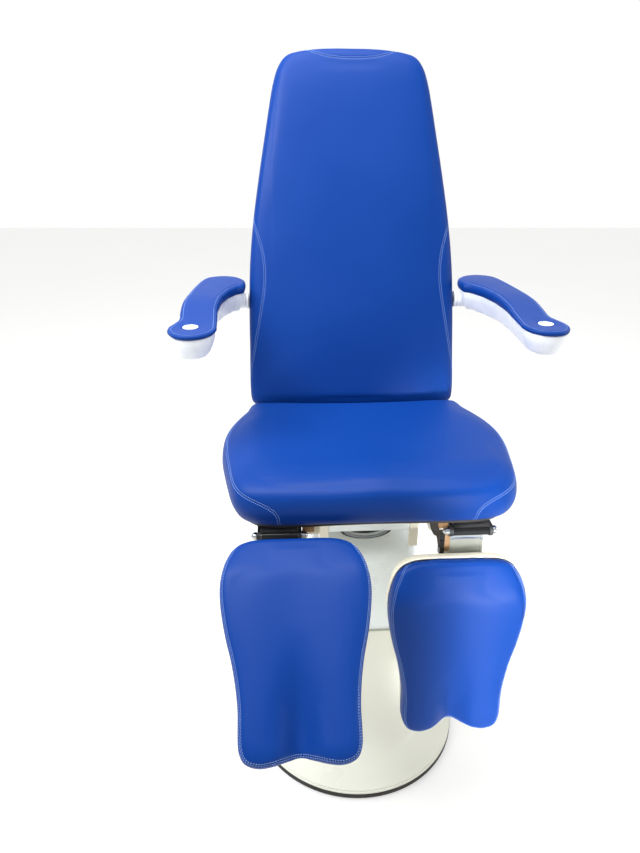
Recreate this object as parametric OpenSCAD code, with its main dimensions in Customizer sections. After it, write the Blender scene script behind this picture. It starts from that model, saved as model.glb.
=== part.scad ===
// Podiatry chair: round base, telescopic column, swivel, tilting seat,
// reclining back with folding arms, and two separate leg rests that pitch and slide out.
// Millimetres. +Z is up, the person faces -Y, +X is the right side seen from the front.
// The origin is on the floor, on the axis of the column.

/* [Base] */
// Diameter of the round base over its rubber ring
base_d = 560; // [520:5:620]
// Height of the lower cover above the floor
lower_cover_h = 420; // [400:5:425]
// Width of the lower cover at its top
lower_cover_w = 262; // [260:2:280]
// Depth of the lower cover at its top
lower_cover_depth = 274; // [270:2:290]
// Wall of the moulded covers
cover_wall = 4; // [3:0.5:5]

/* [Column] */
// Side of the square outer column tube
column_w = 132; // [128:1:134]
// Height of the column above the base plate when it is fully down
column_h = 406; // [400:2:440]
// Whole stroke of the column
lift_travel = 320; // [280:5:320]
// Part of the stroke that the rest position has used
lift_rest = 260; // [240:2:264]
// Wall of the three column tubes
tube_wall = 4.5; // [3.5:0.5:5]

/* [Seat] */
// Depth of the seat cushion from front to back
seat_depth = 470; // [460:2:476]
// Greatest width of the seat cushion
seat_w = 658; // [620:2:700]
// Thickness of the seat cushion at its rim
seat_thick = 95; // [80:1:100]
// How far the front of the seat lies in front of the column axis
seat_front = 270; // [266:1:274]

/* [Back] */
// Length of the back cushion
back_len = 894; // [840:2:900]
// Greatest width of the back cushion
back_w = 541; // [536:1:542]
// Lean of the back from upright in the rest position, in degrees
back_lean = 18; // [14:1:22]
// Thickness of the back cushion at its rim
back_thick = 60; // [50:1:62]

/* [Arms] */
// Length of an arm rest from its tip to its rear corner
arm_len = 476; // [440:2:500]
// Distance that an arm rest reaches out from its hinge side
arm_reach = 148; // [140:1:160]
// Thickness of the arm pad towards its rear
arm_pad_thick = 24; // [20:1:28]
// Radius of the hole through the front lobe of the pad
arm_hole_r = 14; // [11:0.5:16]

/* [Leg rests] */
// Length of a leg cushion
leg_len = 413; // [390:1:430]
// Greatest width of a leg cushion
leg_w = 295; // [270:1:300]
// Thickness of a leg cushion at its rim
leg_thick = 46; // [38:1:50]
// Distance of each leg cushion from the middle plane
leg_x = 172; // [168:1:178]
// Angle of the left leg rest below level in the rest position, in degrees
leg_angle_left = 37; // [24:1:40]
// Angle of the right leg rest below level in the rest position, in degrees
leg_angle_right = 82; // [70:1:84]
// How far the right leg rest is slid out in the rest position
leg_out_right = 38; // [0:1:60]

/* [Hidden] */
$fn = 48;

// Clearances
gap = 0.3;
running = 0.05;
overrun = 1;

// Floor ring and base plate
ring_h = 16;
ring_wall = 9;
ring_foot = 34;
ring_edge = 4;
plate_t = 10;
base_r = base_d / 2;
plate_r = base_r - ring_wall;
plate_z = ring_h - plate_t;

// Column tubes: each is one gap smaller than the one around it
tube_gap = 3;
tube_corner = 10;
outer_half = column_w / 2;
middle_half = outer_half - tube_wall - tube_gap;
inner_half = middle_half - tube_wall - tube_gap;
foot_out = 28;
foot_t = 8;
foot_half = outer_half + foot_out;
outer_short = 22;
middle_short = 14;
drive_h = 30;
drive_gap = 6;
flange_t = 6;
inner_gap = 4;
outer_top = ring_h + column_h - outer_short;
middle_z = ring_h + drive_h + drive_gap + lift_rest / 2;
middle_top = ring_h + column_h - middle_short + lift_rest / 2;
inner_z = ring_h + drive_h + drive_gap + flange_t + inner_gap + lift_rest;
head_z = ring_h + column_h + lift_rest;
glide_h = 50;
glide_w = 60;
glide_down = 8;

// Bolts of the column foot and screws of the lower cover, from below
bolt_r = 5;
bolt_out = 16;
bolt_pitch = outer_half + bolt_out;
bolt_head_r = 8.5;
bolt_head_h = 6;
cover_screw_r = 2.5;
cover_screw_in = 55;
cover_screw_pitch = (base_r - cover_screw_in) * cos(45);
cover_screw_head_r = 5;
cover_screw_head_t = 2.5;
cover_boss_r = 7;
cover_boss_h = 15;

// Lift drive: gearbox, motor and the screw in the middle
drive_w = 60;
motor_x = 88;
motor_r = 20;
motor_h = 104;
drive_back = 36;
drive_lip = 2;
screw_r = 9;
screw_short = 6;
screw_len = lift_travel - screw_short;
hollow_r = 15;
hollow_more = 10;
hollow_len = lift_travel + hollow_more;
nut_r = 21;
nut_more = 30;
nut_len = lift_travel + nut_more;
nut_flange_r = 42;
nut_flange_t = 5;

// Lower cover: a square tower that flares into the round foot
cover_points = 48;
cover_steps = 12;
flare_power = 13;
cover_corner_power = 7;
corner_fade_power = 6;
level_power = 2.4;
rim_inset = 1;
rim_h = 5;
flare_z = ring_h + rim_h;

// Upper cover: slides down inside the lower one
cover_clear = 3;
upper_half_x = lower_cover_w / 2 - cover_wall - cover_clear;
upper_half_y = lower_cover_depth / 2 - cover_wall - cover_clear;
upper_cover_len = 387;
shoulder_h = 52;
shoulder_x_share = 0.6;
shoulder_y_share = 0.7;
shoulder_power = 3;
shoulder_shares = [0, 0.12, 0.55, 1];
shoulder_rise_shares = [0, 0.4, 0.75, 1];

// Mains inlet at the back of the foot
inlet_half = 27;
inlet_front = 165;
inlet_rear = 222;
inlet_h = 52;
inlet_well_half = 13.5;
inlet_well_z = 31;
inlet_well_h = 19;
inlet_well_d = 16;
inlet_pin = [2, 9, 4];
inlet_pin_pitch = 7;
inlet_pin_rise = 2.5;

// Column head, swivel bearing and turntable
head_half = 74;
head_t = 8;
head_corner = 18;
bearing_h = 10;
bearing_out_r = 72;
bearing_in_r = 45;
turntable_r = 100;
turntable_t = 12;
spigot_in_r = 30;
spigot_h = 8;
bearing_z = head_z + head_t;
turntable_z = bearing_z + bearing_h + gap;
yoke_z = turntable_z + turntable_t;

// Yoke: base plate, two cheeks and the tilt axis
yoke_t = 10;
yoke_half = 112;
yoke_front = 120;
yoke_rear = 130;
cheek_t = 8;
post_t = 10;
post_front = 150;
post_drop = 40;
post_top = 68;
cheek_step = 12;
cheek_end_h = 23;
yoke_top = yoke_z + yoke_t;
tilt_axis_h = 61.7;
tilt_y = 100;
tilt_z = yoke_top + tilt_axis_h;
boss_r = 18;
shaft_r = 10;
bush_r = 14;
bush_flange_r = 17;
bush_flange_t = 1.5;

// Control box and the cables that loop below it
box_half = 92;
box_rear = 112;
box_lift = 5;
box_h = 67;
box_edge = 5;
box_z = yoke_top + box_lift;
cable_y = -137;
cable_steps = 16;
cable_sides = 8;
cable_starts = [-64, -56, -47];
cable_ends = [52, 44, 34];
cable_drops = [26, 21, 15];
cable_rows = [0, -5, 5];
cable_radii = [3.5, 2.5, 3];

// Tilt actuator
tilt_max = 15;
tilt_crank = 40;
crank_half_w = 17;
crank_t = 8;
crank_x = 8;
tilt_pin_r = 8;
pin_play = 0.9;
pin_proud = 1;
tilt_tube_r = 18;
tilt_rod_r = 9;
tilt_tube_front = 85;
tilt_tube_rear = 20;
tilt_block_l = 14;
tilt_foot_half = 11;
tilt_motor_x = 36;
tilt_motor_r = 14;
tilt_motor_l = 80;
tilt_rod_front = 60;
tilt_bore_front = 75;
tilt_rod_clear = 14;
tilt_eye_r = 12;
tilt_eye_half = 6;
tilt_sag = tilt_crank * (1 - cos(tilt_max));
tilt_rod_z = tilt_z - tilt_crank + tilt_sag / 2;

// Seat frame
rail_w = 25;
rail_h = 30;
rail_wall = 2.5;
rail_over = 21;
rail_x = 117;
rail_front = 225;
rail_rear = 235;
cross_h = 25;
cross_l = 30;
cross_front = 200;
cross_reach = 247;
rear_cross_y = 175;
rail_top = tilt_z + rail_over;
rail_z = rail_top - rail_h;
rail_out_x = rail_x + rail_w;
board_t = 10;
board_inset = 30;
seat_z = rail_top + board_t;
seat_top = seat_z + seat_thick;
seat_rear = seat_depth - seat_front;

// Seat cushion surface
seat_dish = 7;
seat_ridge = 5;
seat_ridge_w = 55;
seat_fall = 9;
seat_fall_l = 110;
seat_hollow_l = 220;

// Leg hinges
leg_hinge_y = -240;
leg_hinge_drop = 22;
leg_hinge_z = rail_top - leg_hinge_drop;
ear_t = 7;
ear_in_x = 156;
ear_out_x = cross_reach - ear_t;
ear_r = 12.5;
ear_plate_t = 6;
hinge_pin_r = 6;
nut_dome_r = 9;
nut_collar = 5;
barrel_r = 11;
tongue_x = (ear_in_x + cross_reach) / 2;
barrel_half = (ear_out_x - ear_in_x - ear_t) / 2 - 2 * gap;

// Leg tongue, its webs, its side strut and its guide, measured from the hinge axis along the leg
tongue_w = 70;
tongue_t = 6;
tongue_bead = 1.5;
tongue_bead_w = 5;
tongue_len = 290;
web_t = 5;
strut_x = 142;
strut_t = 10;
strut_half = 10;
strut_start = 14;
strut_mid = 34;
strut_end = 66;
guide_start = 34;
guide_len = 250;
guide_wall = 3;
leg_start = 17;

// Leg shell and cushion, measured from the hinge axis along and across the leg
shell_back = 17;
shell_rim = 20;
shell_wall = 3.5;
shell_over = 3;
web_clear = 2;
web_len = leg_start - shell_over - web_clear;
shell_short = 22;
shell_insets = [24, 12, 4, 1, 0];
shell_levels_share = [0, 0.11, 0.32, 0.68, 1];
leg_low = 18;
leg_rise_l = 86;
groove_start_share = 0.42;
groove_w = 34;
groove_depth = 27;
trough_w = 62;
trough_depth = 7;

// Knob that clamps the tongue
knob_s = 150;
knob_r = 20;
knob_h = 16;
knob_stem_r = 5;
knob_lobes = 6;
knob_lobe_r = 6;
knob_gap = 1;
guide_half = tongue_t / 2 + tongue_bead + gap + guide_wall;
tongue_z = -shell_back - guide_half;
guide_back = tongue_z - guide_half;

// Back: hinge, frame and shell, measured along the back and behind its face
back_hinge_back = 75;
back_hinge_up = 47;
back_hinge_y = seat_rear + back_hinge_back;
back_hinge_z = rail_top + back_hinge_up;
back_root_gap = 10;
back_root_y = seat_rear + back_root_gap;
back_start = -32;
hinge_plate_t = 8;
hinge_plate_y = 120;
hinge_plate_rise = 8;
hinge_boss_r = 16;
back_pin_r = 8;
pin_head_r = 13;
pin_head_t = 4;
lug_t = 10;
lug_gap = 2;
lug_up = 60;
upright_w = 25;
upright_wall = 2.5;
upright_x = rail_out_x + hinge_plate_t + lug_gap;
upright_out_x = upright_x + upright_w;
upright_start = -8;
upright_end = 620;
back_board_t = 12;
back_board_inset = 36;
upright_deep = back_thick + back_board_t;
back_cross_s = [110, 590];
back_shell_deep = 108;
back_shell_wall = 3;
back_shell_in = 16;
back_shell_insets = [44, 26, 4, 0];
back_shell_levels_share = [0, 0.1, 0.45, 1];
back_shell_start = 60;
shell_taper_share = 0.1;
back_edge_fall = 14;
lumbar_rise = 8;
lumbar_s = 190;
lumbar_l = 120;

// Back actuator and its slotted crank
back_min = -5;
back_max = 67;
back_mid = (back_min + back_max) / 2;
actuator_x = 197;
actuator_drop = 17;
actuator_r = 15;
actuator_rear = 45;
actuator_block = 20;
actuator_motor_r = 13;
actuator_motor_l = 120;
actuator_motor_out = 30;
back_rod_r = 8;
back_rod_len = 290;
back_eye_r = 12;
back_eye_t = 10;
back_pin_small_r = 6;
slot_play = 2.3;
crank_wall = 7;
back_crank_t = 10;
crank_lap = 1;
rod_per_turn_share = 1.1067;
actuator_z = rail_top - actuator_drop;
back_crank_h = back_hinge_z - actuator_z;
back_rod_y = back_hinge_y + back_crank_h * rod_per_turn_share * back_mid * PI / 180;
slot_near = back_crank_h - overrun;
slot_far = back_crank_h / cos(back_max - back_mid) + 2 * overrun;
slot_half = back_pin_small_r + slot_play;

// Arms: hinge on the side of the back
arm_hinge_back = 108;
arm_hinge_y = back_root_y + arm_hinge_back;
arm_hinge_up = 225;
arm_hinge_z = seat_top + arm_hinge_up;
arm_plate_x = back_w / 2;
arm_plate_t = 5;
arm_plate_r = 20;
arm_bar_h = 30;
arm_bar_t = 16;
arm_pin_r = 8;
arm_side_gap = 1.5;
arm_x = arm_plate_x + arm_plate_t + arm_side_gap;
arm_hub_r = 20;
arm_hub_t = 34;
arm_cap_r = 14;
arm_cap_t = 4;
arm_slope = 0.5;
arm_tip_ahead = 427;
arm_tip_y = arm_hinge_y - arm_tip_ahead;
arm_tip_up = 255;
arm_tip_z = seat_top + arm_tip_up;
arm_pad_below = 2;
arm_depth = 48;
arm_wall = 5;
arm_floor = 4;
arm_body_insets = [26, 17, 7, 4];
arm_body_levels_share = [0, 0.12, 0.6, 1];
arm_hole_thick = 9;
arm_rise_len = 210;
socket_wall = 2;
socket_depth = 26;
arm_hole_share = [0.682, 0.137];

// Outlines as shares of width and length, half of each, from the front or top middle
seat_shares = [[0, 0], [0.36, 0], [0.62, 0.004], [0.775, 0.022], [0.865, 0.062], [0.912, 0.125],
               [0.942, 0.22], [0.972, 0.34], [0.994, 0.445], [1, 0.535], [0.99, 0.625],
               [0.96, 0.715], [0.908, 0.815], [0.862, 0.89], [0.842, 0.95], [0.80, 0.99],
               [0.62, 1], [0.32, 1], [0, 1]];
back_shares = [[0, 0], [0.45, 0], [0.86, 0.003], [0.97, 0.013], [1, 0.048], [0.998, 0.169],
               [0.995, 0.274], [0.98, 0.408], [0.94, 0.532], [0.873, 0.666], [0.805, 0.785],
               [0.763, 0.857], [0.728, 0.909], [0.68, 0.952], [0.60, 0.981], [0.46, 0.993],
               [0.26, 0.999], [0, 1]];
leg_shares = [[0, 0], [0.36, 0], [0.62, 0.008], [0.81, 0.04], [0.925, 0.105], [0.987, 0.19],
              [1, 0.27], [0.97, 0.365], [0.912, 0.47], [0.842, 0.565], [0.785, 0.67],
              [0.752, 0.775], [0.75, 0.87], [0.735, 0.935], [0.665, 0.98], [0.51, 1],
              [0.34, 0.995], [0.15, 0.978], [0, 0.968]];
arm_inner_shares = [[0, 0.792], [0.045, 0.771], [0.115, 0.75], [0.176, 0.716], [0.236, 0.674],
                    [0.291, 0.607], [0.331, 0.54], [0.358, 0.397], [0.345, 0.313], [0.331, 0.229],
                    [0.32, 0.166], [0.318, 0.113], [0.38, 0.053], [0.51, 0.013]];
arm_outer_shares = [[0, 0.897], [0.11, 0.964], [0.345, 1], [0.58, 0.985], [0.735, 0.933],
                    [0.82, 0.807], [0.885, 0.639], [0.925, 0.481], [0.912, 0.355], [0.892, 0.26],
                    [0.94, 0.208], [1, 0.149], [0.985, 0.086], [0.87, 0.023]];
arm_tip_share = [0.7, 0];
arm_end_stations = [3, 11];

// Sections of a cushion from its back to its face: inset from the outline, share of thickness
section_shares = [0, 0, 0.16, 0.42, 0.68, 0.85, 0.95, 1];
seat_insets = [40, 20, 7, 0, 2, 8, 20, 38];
back_insets = [30, 6, 2, 0, 1.5, 6, 15, 32];
leg_insets = [26, 3, 1, 0, 1.5, 5, 14, 28];
arm_insets = [14, 3, 1, 0, 1, 4, 10, 20];
inner_shares = [0.76, 0.5, 0.25];
straight_inset = 8;
fan_share = 0.46;
fine_steps = 2;
coarse_steps = 1;

// Colours
blue = [0.07, 0.2, 0.72];
warm_white = [0.78, 0.78, 0.72];
cool_white = [0.9, 0.94, 0.95];
cream = [0.93, 0.92, 0.86];
steel = [0.6, 0.62, 0.64];
bright = [0.82, 0.84, 0.86];
dark = [0.2, 0.21, 0.23];
black = [0.06, 0.06, 0.07];
wood = [0.72, 0.58, 0.4];
brass = [0.75, 0.62, 0.3];

// Point on the smooth curve between b and c, at t from 0 to 1
function spline(a, b, c, d, t) =
    (2 * b + (c - a) * t + (2 * a - 5 * b + 4 * c - d) * t * t
     + (3 * b - a - 3 * c + d) * t * t * t) / 2;

// Closed smooth loop through the points, with the stated steps between each two
function smooth_loop(pts, steps) =
    let (n = len(pts))
    [for (i = [0 : n - 1]) for (j = [0 : steps - 1])
        spline(pts[(i + n - 1) % n], pts[i], pts[(i + 1) % n], pts[(i + 2) % n], j / steps)];

// Whole outline from its half: there along one side, and back along the mirrored other
function both_sides(half, w, l) =
    concat([for (p = half) [p[0] * w / 2, p[1] * l]],
           [for (i = [len(half) - 2 : -1 : 1]) [-half[i][0] * w / 2, half[i][1] * l]]);
function moved(outline, by) = [for (p = outline) p + by];
function turned(outline) = [for (p = outline) -p];

// Unit vector that points into a loop, square to it at point i
function inward(outline, i) =
    let (n = len(outline), d = outline[(i + 1) % n] - outline[(i + n - 1) % n])
    [-d[1], d[0]] / norm(d);

// Outline drawn in by a distance: square to itself at first, then towards each point's middle
function drawn_in(outline, middles, inset) =
    [for (i = [0 : len(outline) - 1])
        let (p = outline[i] + inward(outline, i) * min(inset, straight_inset))
        let (further = max(inset - straight_inset, 0))
        p + (middles[i] - p) * further / norm(middles[i] - p)];
function shrunk(outline, middles, share) =
    [for (i = [0 : len(outline) - 1]) middles[i] + (outline[i] - middles[i]) * share];
function around(outline, middle) = [for (p = outline) middle];
function at_level(ring, z) = [for (p = ring) [p[0], p[1], z]];
function bell(x, w) = exp(-(x * x) / (w * w));
function clamp(x, low, high) = min(max(x, low), high);
function ease(x) = let (t = clamp(x, 0, 1)) t * t * (3 - 2 * t);
function last(list) = list[len(list) - 1];

// Faces that close a ring from its point "from", by strips between its two halves
function strips(n, from) = concat(
    [for (i = [0 : floor(n / 2) - 2]) each [[i, i + 1, n - 2 - i], [i, n - 2 - i, n - 1 - i]]],
    n % 2 == 1 ? [[(n - 3) / 2, (n - 1) / 2, (n + 1) / 2]] : []) + from * ones(n);
function ones(n) = [for (i = [1 : 2 * floor(n / 2) - 2 + n % 2]) [1, 1, 1]];

// Solid skin over a stack of rings: closed by a fan round each middle, or else by strips
module loft(rings, first_middle, last_middle) {
    n = len(rings[0]);
    k = len(rings);
    top = (k - 1) * n;
    fans = !is_undef(first_middle);
    sides = [for (j = [0 : k - 2]) for (i = [0 : n - 1])
        let (a = j * n + i, b = j * n + (i + 1) % n)
        each [[a, a + n, b + n], [a, b + n, b]]];
    first_cap = fans ? [for (i = [0 : n - 1]) [k * n, i, (i + 1) % n]] : strips(n, 0);
    last_cap = fans ? [for (i = [0 : n - 1]) [k * n + 1, top + (i + 1) % n, top + i]]
        : [for (f = strips(n, top)) [f[2], f[1], f[0]]];
    polyhedron(concat([for (ring = rings) each ring], fans ? [first_middle, last_middle] : []),
               concat(sides, first_cap, last_cap), convexity = 6);
}

// Skin over a stack of rings whose last joins its first, as round a wall
module loft_round(rings) {
    n = len(rings[0]);
    k = len(rings);
    faces = [for (j = [0 : k - 1]) for (i = [0 : n - 1])
        let (a = j * n + i, b = j * n + (i + 1) % n)
        let (c = ((j + 1) % k) * n + i, d = ((j + 1) % k) * n + (i + 1) % n)
        each [[a, c, d], [a, d, b]]];
    polyhedron([for (ring = rings) each ring], faces, convexity = 8);
}

// Cushion: rings from its flat back to its crowned face, with its depth given at each point
module cushion(outline, middles, insets, depth_at, fans = true) {
    rims = [for (i = [0 : len(insets) - 1])
        [for (p = drawn_in(outline, middles, insets[i])) [p[0], p[1], section_shares[i] * depth_at(p)]]];
    rim = drawn_in(outline, middles, last(insets));
    tops = [for (share = inner_shares)
        [for (p = shrunk(rim, middles, share)) [p[0], p[1], depth_at(p)]]];
    m = middles[0];
    loft(concat(rims, tops), fans ? [m[0], m[1], 0] : undef, fans ? [m[0], m[1], depth_at(m)] : undef);
}

// Open bowl: an outer skin from its floor up to its rim, and an inner one a wall away
module bowl(outline, middles, insets, levels, floor_t, wall, fans = true) {
    k = len(insets);
    inside = levels[0] + floor_t;
    outer = [for (i = [0 : k - 1]) at_level(drawn_in(outline, middles, insets[i]), levels[i])];
    inner = [for (i = [k - 1 : -1 : 0]) if (i == 0 || levels[i] > inside)
        at_level(drawn_in(outline, middles, insets[i] + wall), max(levels[i], inside))];
    m = middles[0];
    loft(concat(outer, inner), fans ? [m[0], m[1], levels[0]] : undef, fans ? [m[0], m[1], inside] : undef);
}

module rounded_square(half_x, half_y, r) {
    square([2 * half_x, 2 * (half_y - r)], center = true);
    square([2 * (half_x - r), 2 * half_y], center = true);
    for (x = [-1, 1]) for (y = [-1, 1])
        translate([x * (half_x - r), y * (half_y - r)]) circle(r);
}

// Square tube standing from z up to top
module square_tube(half, wall, z, top) {
    translate([0, 0, z]) linear_extrude(top - z) difference() {
        rounded_square(half, half, tube_corner);
        rounded_square(half - wall, half - wall, tube_corner - wall);
    }
}

module box(low, high) { translate(low) cube(high - low); }
module both() { for (side = [0, 1]) mirror([side, 0, 0]) children(); }
module rod_x(x0, x1, r) { translate([x0, 0, 0]) rotate([0, 90, 0]) cylinder(h = x1 - x0, r = r); }
module rod_y(y0, y1, r) { translate([0, y0, 0]) rotate([-90, 0, 0]) cylinder(h = y1 - y0, r = r); }

// Rectangular tube along X between two corners
module tube_along_x(low, high, wall) {
    difference() {
        box(low, high);
        box([low[0] - overrun, low[1] + wall, low[2] + wall],
            [high[0] + overrun, high[1] - wall, high[2] - wall]);
    }
}

// Shape drawn in the YZ plane and given a thickness from x0 to x1
module plate_x(x0, x1) {
    translate([x0, 0, 0]) rotate([90, 0, 90]) linear_extrude(x1 - x0) children();
}

// Squarish loop with half sizes hx and hy, and a power for how square its corners are
function square_radius(a, hx, hy, power) =
    pow(pow(abs(cos(a)) / hx, power) + pow(abs(sin(a)) / hy, power), -1 / power);
function square_ring(hx, hy, power, z, count) =
    [for (i = [0 : count - 1]) let (a = i * 360 / count, r = square_radius(a, hx, hy, power))
        [r * cos(a), r * sin(a), z]];

// Floor ring, base plate and the lower cover that flares into it
module floor_ring() {
    color(black) rotate_extrude($fn = 96) polygon([
        [base_r - ring_foot, 0], [base_r - ring_edge, 0], [base_r, ring_edge],
        [base_r, ring_h], [plate_r, ring_h], [plate_r, plate_z], [base_r - ring_foot, plate_z]]);
}

module at_corners(pitch) {
    for (x = [-1, 1]) for (y = [-1, 1]) translate([x * pitch, y * pitch, 0]) children();
}

module base_plate() {
    color(steel) translate([0, 0, plate_z]) difference() {
        cylinder(h = plate_t, r = plate_r, $fn = 96);
        at_corners(bolt_pitch)
            translate([0, 0, -overrun]) cylinder(h = plate_t + 2 * overrun, r = bolt_r);
        at_corners(cover_screw_pitch)
            translate([0, 0, -overrun]) cylinder(h = plate_t + 2 * overrun, r = cover_screw_r);
    }
}

// Share of the flare left at height z, one at the rim and zero at the top
function flare(z) = pow(1 - clamp((z - flare_z) / (lower_cover_h - flare_z), 0, 1), flare_power);
function lower_half(half, z) = half + (base_r - rim_inset - half) * flare(z);
function lower_ring(z, inset, level) =
    square_ring(lower_half(lower_cover_w / 2, z) - inset,
                lower_half(lower_cover_depth / 2, z) - inset,
                2 + (cover_corner_power - 2) * pow(1 - flare(z), corner_fade_power),
                level, cover_points);
function lower_level(k) = flare_z + (lower_cover_h - flare_z) * pow(k / (cover_steps - 1), level_power);

module base_cover() {
    outer = concat([lower_ring(flare_z, 0, ring_h)],
                   [for (k = [0 : cover_steps - 1]) lower_ring(lower_level(k), 0, lower_level(k))]);
    inner = concat([for (k = [cover_steps - 1 : -1 : 1]) let (z = lower_level(k))
                    lower_ring(min(z + cover_wall, lower_cover_h), cover_wall, z)],
                   [lower_ring(flare_z + cover_wall, cover_wall, ring_h)]);
    color(warm_white) difference() {
        union() {
            loft_round(concat(outer, inner));
            at_corners(cover_screw_pitch)
                translate([0, 0, ring_h]) cylinder(h = cover_boss_h, r = cover_boss_r);
        }
        box([-inlet_half - gap, inlet_front - gap, ring_h - overrun],
            [inlet_half + gap, inlet_rear + gap, ring_h + inlet_h + gap]);
        at_corners(cover_screw_pitch)
            translate([0, 0, ring_h - overrun]) cylinder(h = cover_boss_h - overrun, r = cover_screw_r);
    }
}

// Screws that hold the lower cover from below, and bolts that hold the column foot
module base_screws() {
    color(steel) {
        at_corners(cover_screw_pitch) {
            translate([0, 0, plate_z])
                cylinder(h = plate_t + cover_boss_h - 3 * overrun, r = cover_screw_r - running);
            translate([0, 0, plate_z - cover_screw_head_t])
                cylinder(h = cover_screw_head_t, r = cover_screw_head_r);
        }
        at_corners(bolt_pitch) {
            translate([0, 0, plate_z]) cylinder(h = plate_t + foot_t, r = bolt_r - running);
            translate([0, 0, ring_h + foot_t]) cylinder(h = bolt_head_h, r = bolt_head_r, $fn = 6);
        }
    }
}

module mains_inlet() {
    well_back = inlet_rear - inlet_well_d;
    color(black) {
        difference() {
            box([-inlet_half, inlet_front, ring_h], [inlet_half, inlet_rear, ring_h + inlet_h]);
            box([-inlet_well_half, well_back, ring_h + inlet_well_z - inlet_well_h / 2],
                [inlet_well_half, inlet_rear + overrun, ring_h + inlet_well_z + inlet_well_h / 2]);
        }
        for (i = [-1, 0, 1])
            translate([i * inlet_pin_pitch - inlet_pin[0] / 2, well_back,
                       ring_h + inlet_well_z - inlet_pin[2] / 2
                       + (i == 0 ? inlet_pin_rise : -inlet_pin_rise)]) cube(inlet_pin);
    }
}

// Column: three square tubes with polymer glides, and the screw drive inside
module column_outer() {
    color(steel) difference() {
        union() {
            square_tube(outer_half, tube_wall, ring_h, outer_top);
            translate([0, 0, ring_h]) linear_extrude(foot_t) difference() {
                rounded_square(foot_half, foot_half, tube_corner);
                square(2 * outer_half - tube_wall, center = true);
            }
        }
        box([0, -drive_w / 2 - gap, ring_h - overrun],
            [foot_half + overrun, drive_w / 2 + gap, ring_h + drive_h + gap]);
        at_corners(bolt_pitch)
            translate([0, 0, ring_h - overrun]) cylinder(h = foot_t + 2 * overrun, r = bolt_r);
    }
}

// Four flat pads between one tube and the next, fixed to the inside of the outer one
module glides(inside_half, top) {
    color(black) for (turn = [0 : 90 : 270]) rotate([0, 0, turn])
        box([inside_half - tube_gap + gap, -glide_w / 2, top - glide_down - glide_h],
            [inside_half, glide_w / 2, top - glide_down]);
}
module outer_glides() { glides(outer_half - tube_wall, outer_top); }
module middle_glides() { glides(middle_half - tube_wall, middle_top); }
module column_middle() { color(bright) square_tube(middle_half, tube_wall, middle_z, middle_top); }
module column_inner() { color(bright) square_tube(inner_half, tube_wall, inner_z, head_z); }

module lift_drive() {
    color(dark) {
        box([-drive_back, -drive_w / 2, ring_h],
            [motor_x + motor_r + drive_lip, drive_w / 2, ring_h + drive_h]);
        translate([motor_x, 0, ring_h + drive_h]) cylinder(h = motor_h, r = motor_r);
    }
}

module lift_screw() {
    color(steel) translate([0, 0, ring_h + drive_h]) cylinder(h = screw_len, r = screw_r);
}

// Hollow screw on the foot of the middle tube: turns round the inner screw, and carries the nut
module hollow_screw() {
    half = middle_half - tube_wall - gap;
    color(steel) translate([0, 0, middle_z]) difference() {
        union() {
            linear_extrude(flange_t) rounded_square(half, half, tube_corner - tube_wall);
            cylinder(h = hollow_len, r = hollow_r);
        }
        translate([0, 0, -overrun]) cylinder(h = hollow_len + 2 * overrun, r = screw_r + running);
    }
}

module nut_tube() {
    color(brass) translate([0, 0, head_z - nut_len]) difference() {
        union() {
            cylinder(h = nut_len, r = nut_r);
            translate([0, 0, nut_len - nut_flange_t]) cylinder(h = nut_flange_t, r = nut_flange_r);
        }
        translate([0, 0, -overrun]) cylinder(h = nut_len + 2 * overrun, r = hollow_r + running);
    }
}

module column_head() {
    color(dark) translate([0, 0, head_z]) linear_extrude(head_t) difference() {
        rounded_square(head_half, head_half, head_corner);
        circle(spigot_in_r);
    }
}

module swivel_bearing() {
    color(steel) translate([0, 0, bearing_z]) linear_extrude(bearing_h) difference() {
        circle(bearing_out_r);
        circle(bearing_in_r);
    }
}

// Ring of the upper cover at a share of the way up its shoulder
function upper_ring(share, inset, z) = square_ring(
    upper_half_x * (1 - (1 - shoulder_x_share) * share) - inset,
    upper_half_y * (1 - (1 - shoulder_y_share) * share) - inset,
    cover_corner_power - (cover_corner_power - shoulder_power) * share, z, cover_points);

module upper_cover() {
    low = head_z - upper_cover_len;
    n = len(shoulder_shares);
    function level(i) = head_z - shoulder_h * (1 - shoulder_rise_shares[i]);
    outer = concat([upper_ring(0, 0, low)],
                   [for (i = [0 : n - 1]) upper_ring(shoulder_shares[i], 0, level(i))]);
    inner = concat([for (i = [n - 1 : -1 : 0])
                    upper_ring(shoulder_shares[i], cover_wall, level(i) - cover_wall)],
                   [upper_ring(0, cover_wall, low)]);
    hole = inner_half + gap;
    color(cool_white) difference() {
        loft(concat(inner, outer), [0, 0, head_z - cover_wall], [0, 0, head_z]);
        box([-hole, -hole, head_z - cover_wall - overrun], [hole, hole, head_z + overrun]);
    }
}

// Turntable and yoke: they turn on the column and carry the seat on the tilt axis
module turntable() {
    color(dark) difference() {
        union() {
            translate([0, 0, turntable_z]) cylinder(h = turntable_t, r = turntable_r);
            translate([0, 0, turntable_z - spigot_h]) cylinder(h = spigot_h, r = bearing_in_r - running);
        }
        translate([0, 0, turntable_z - spigot_h - overrun])
            cylinder(h = spigot_h + turntable_t + 2 * overrun, r = spigot_in_r);
    }
}

module yoke_base() {
    half = yoke_half - cheek_t;
    color(cream) translate([0, 0, yoke_z]) difference() {
        box([-half, -yoke_front, 0], [half, yoke_rear, yoke_t]);
        translate([0, 0, -overrun]) cylinder(h = yoke_t + 2 * overrun, r = spigot_in_r);
    }
}

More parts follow.
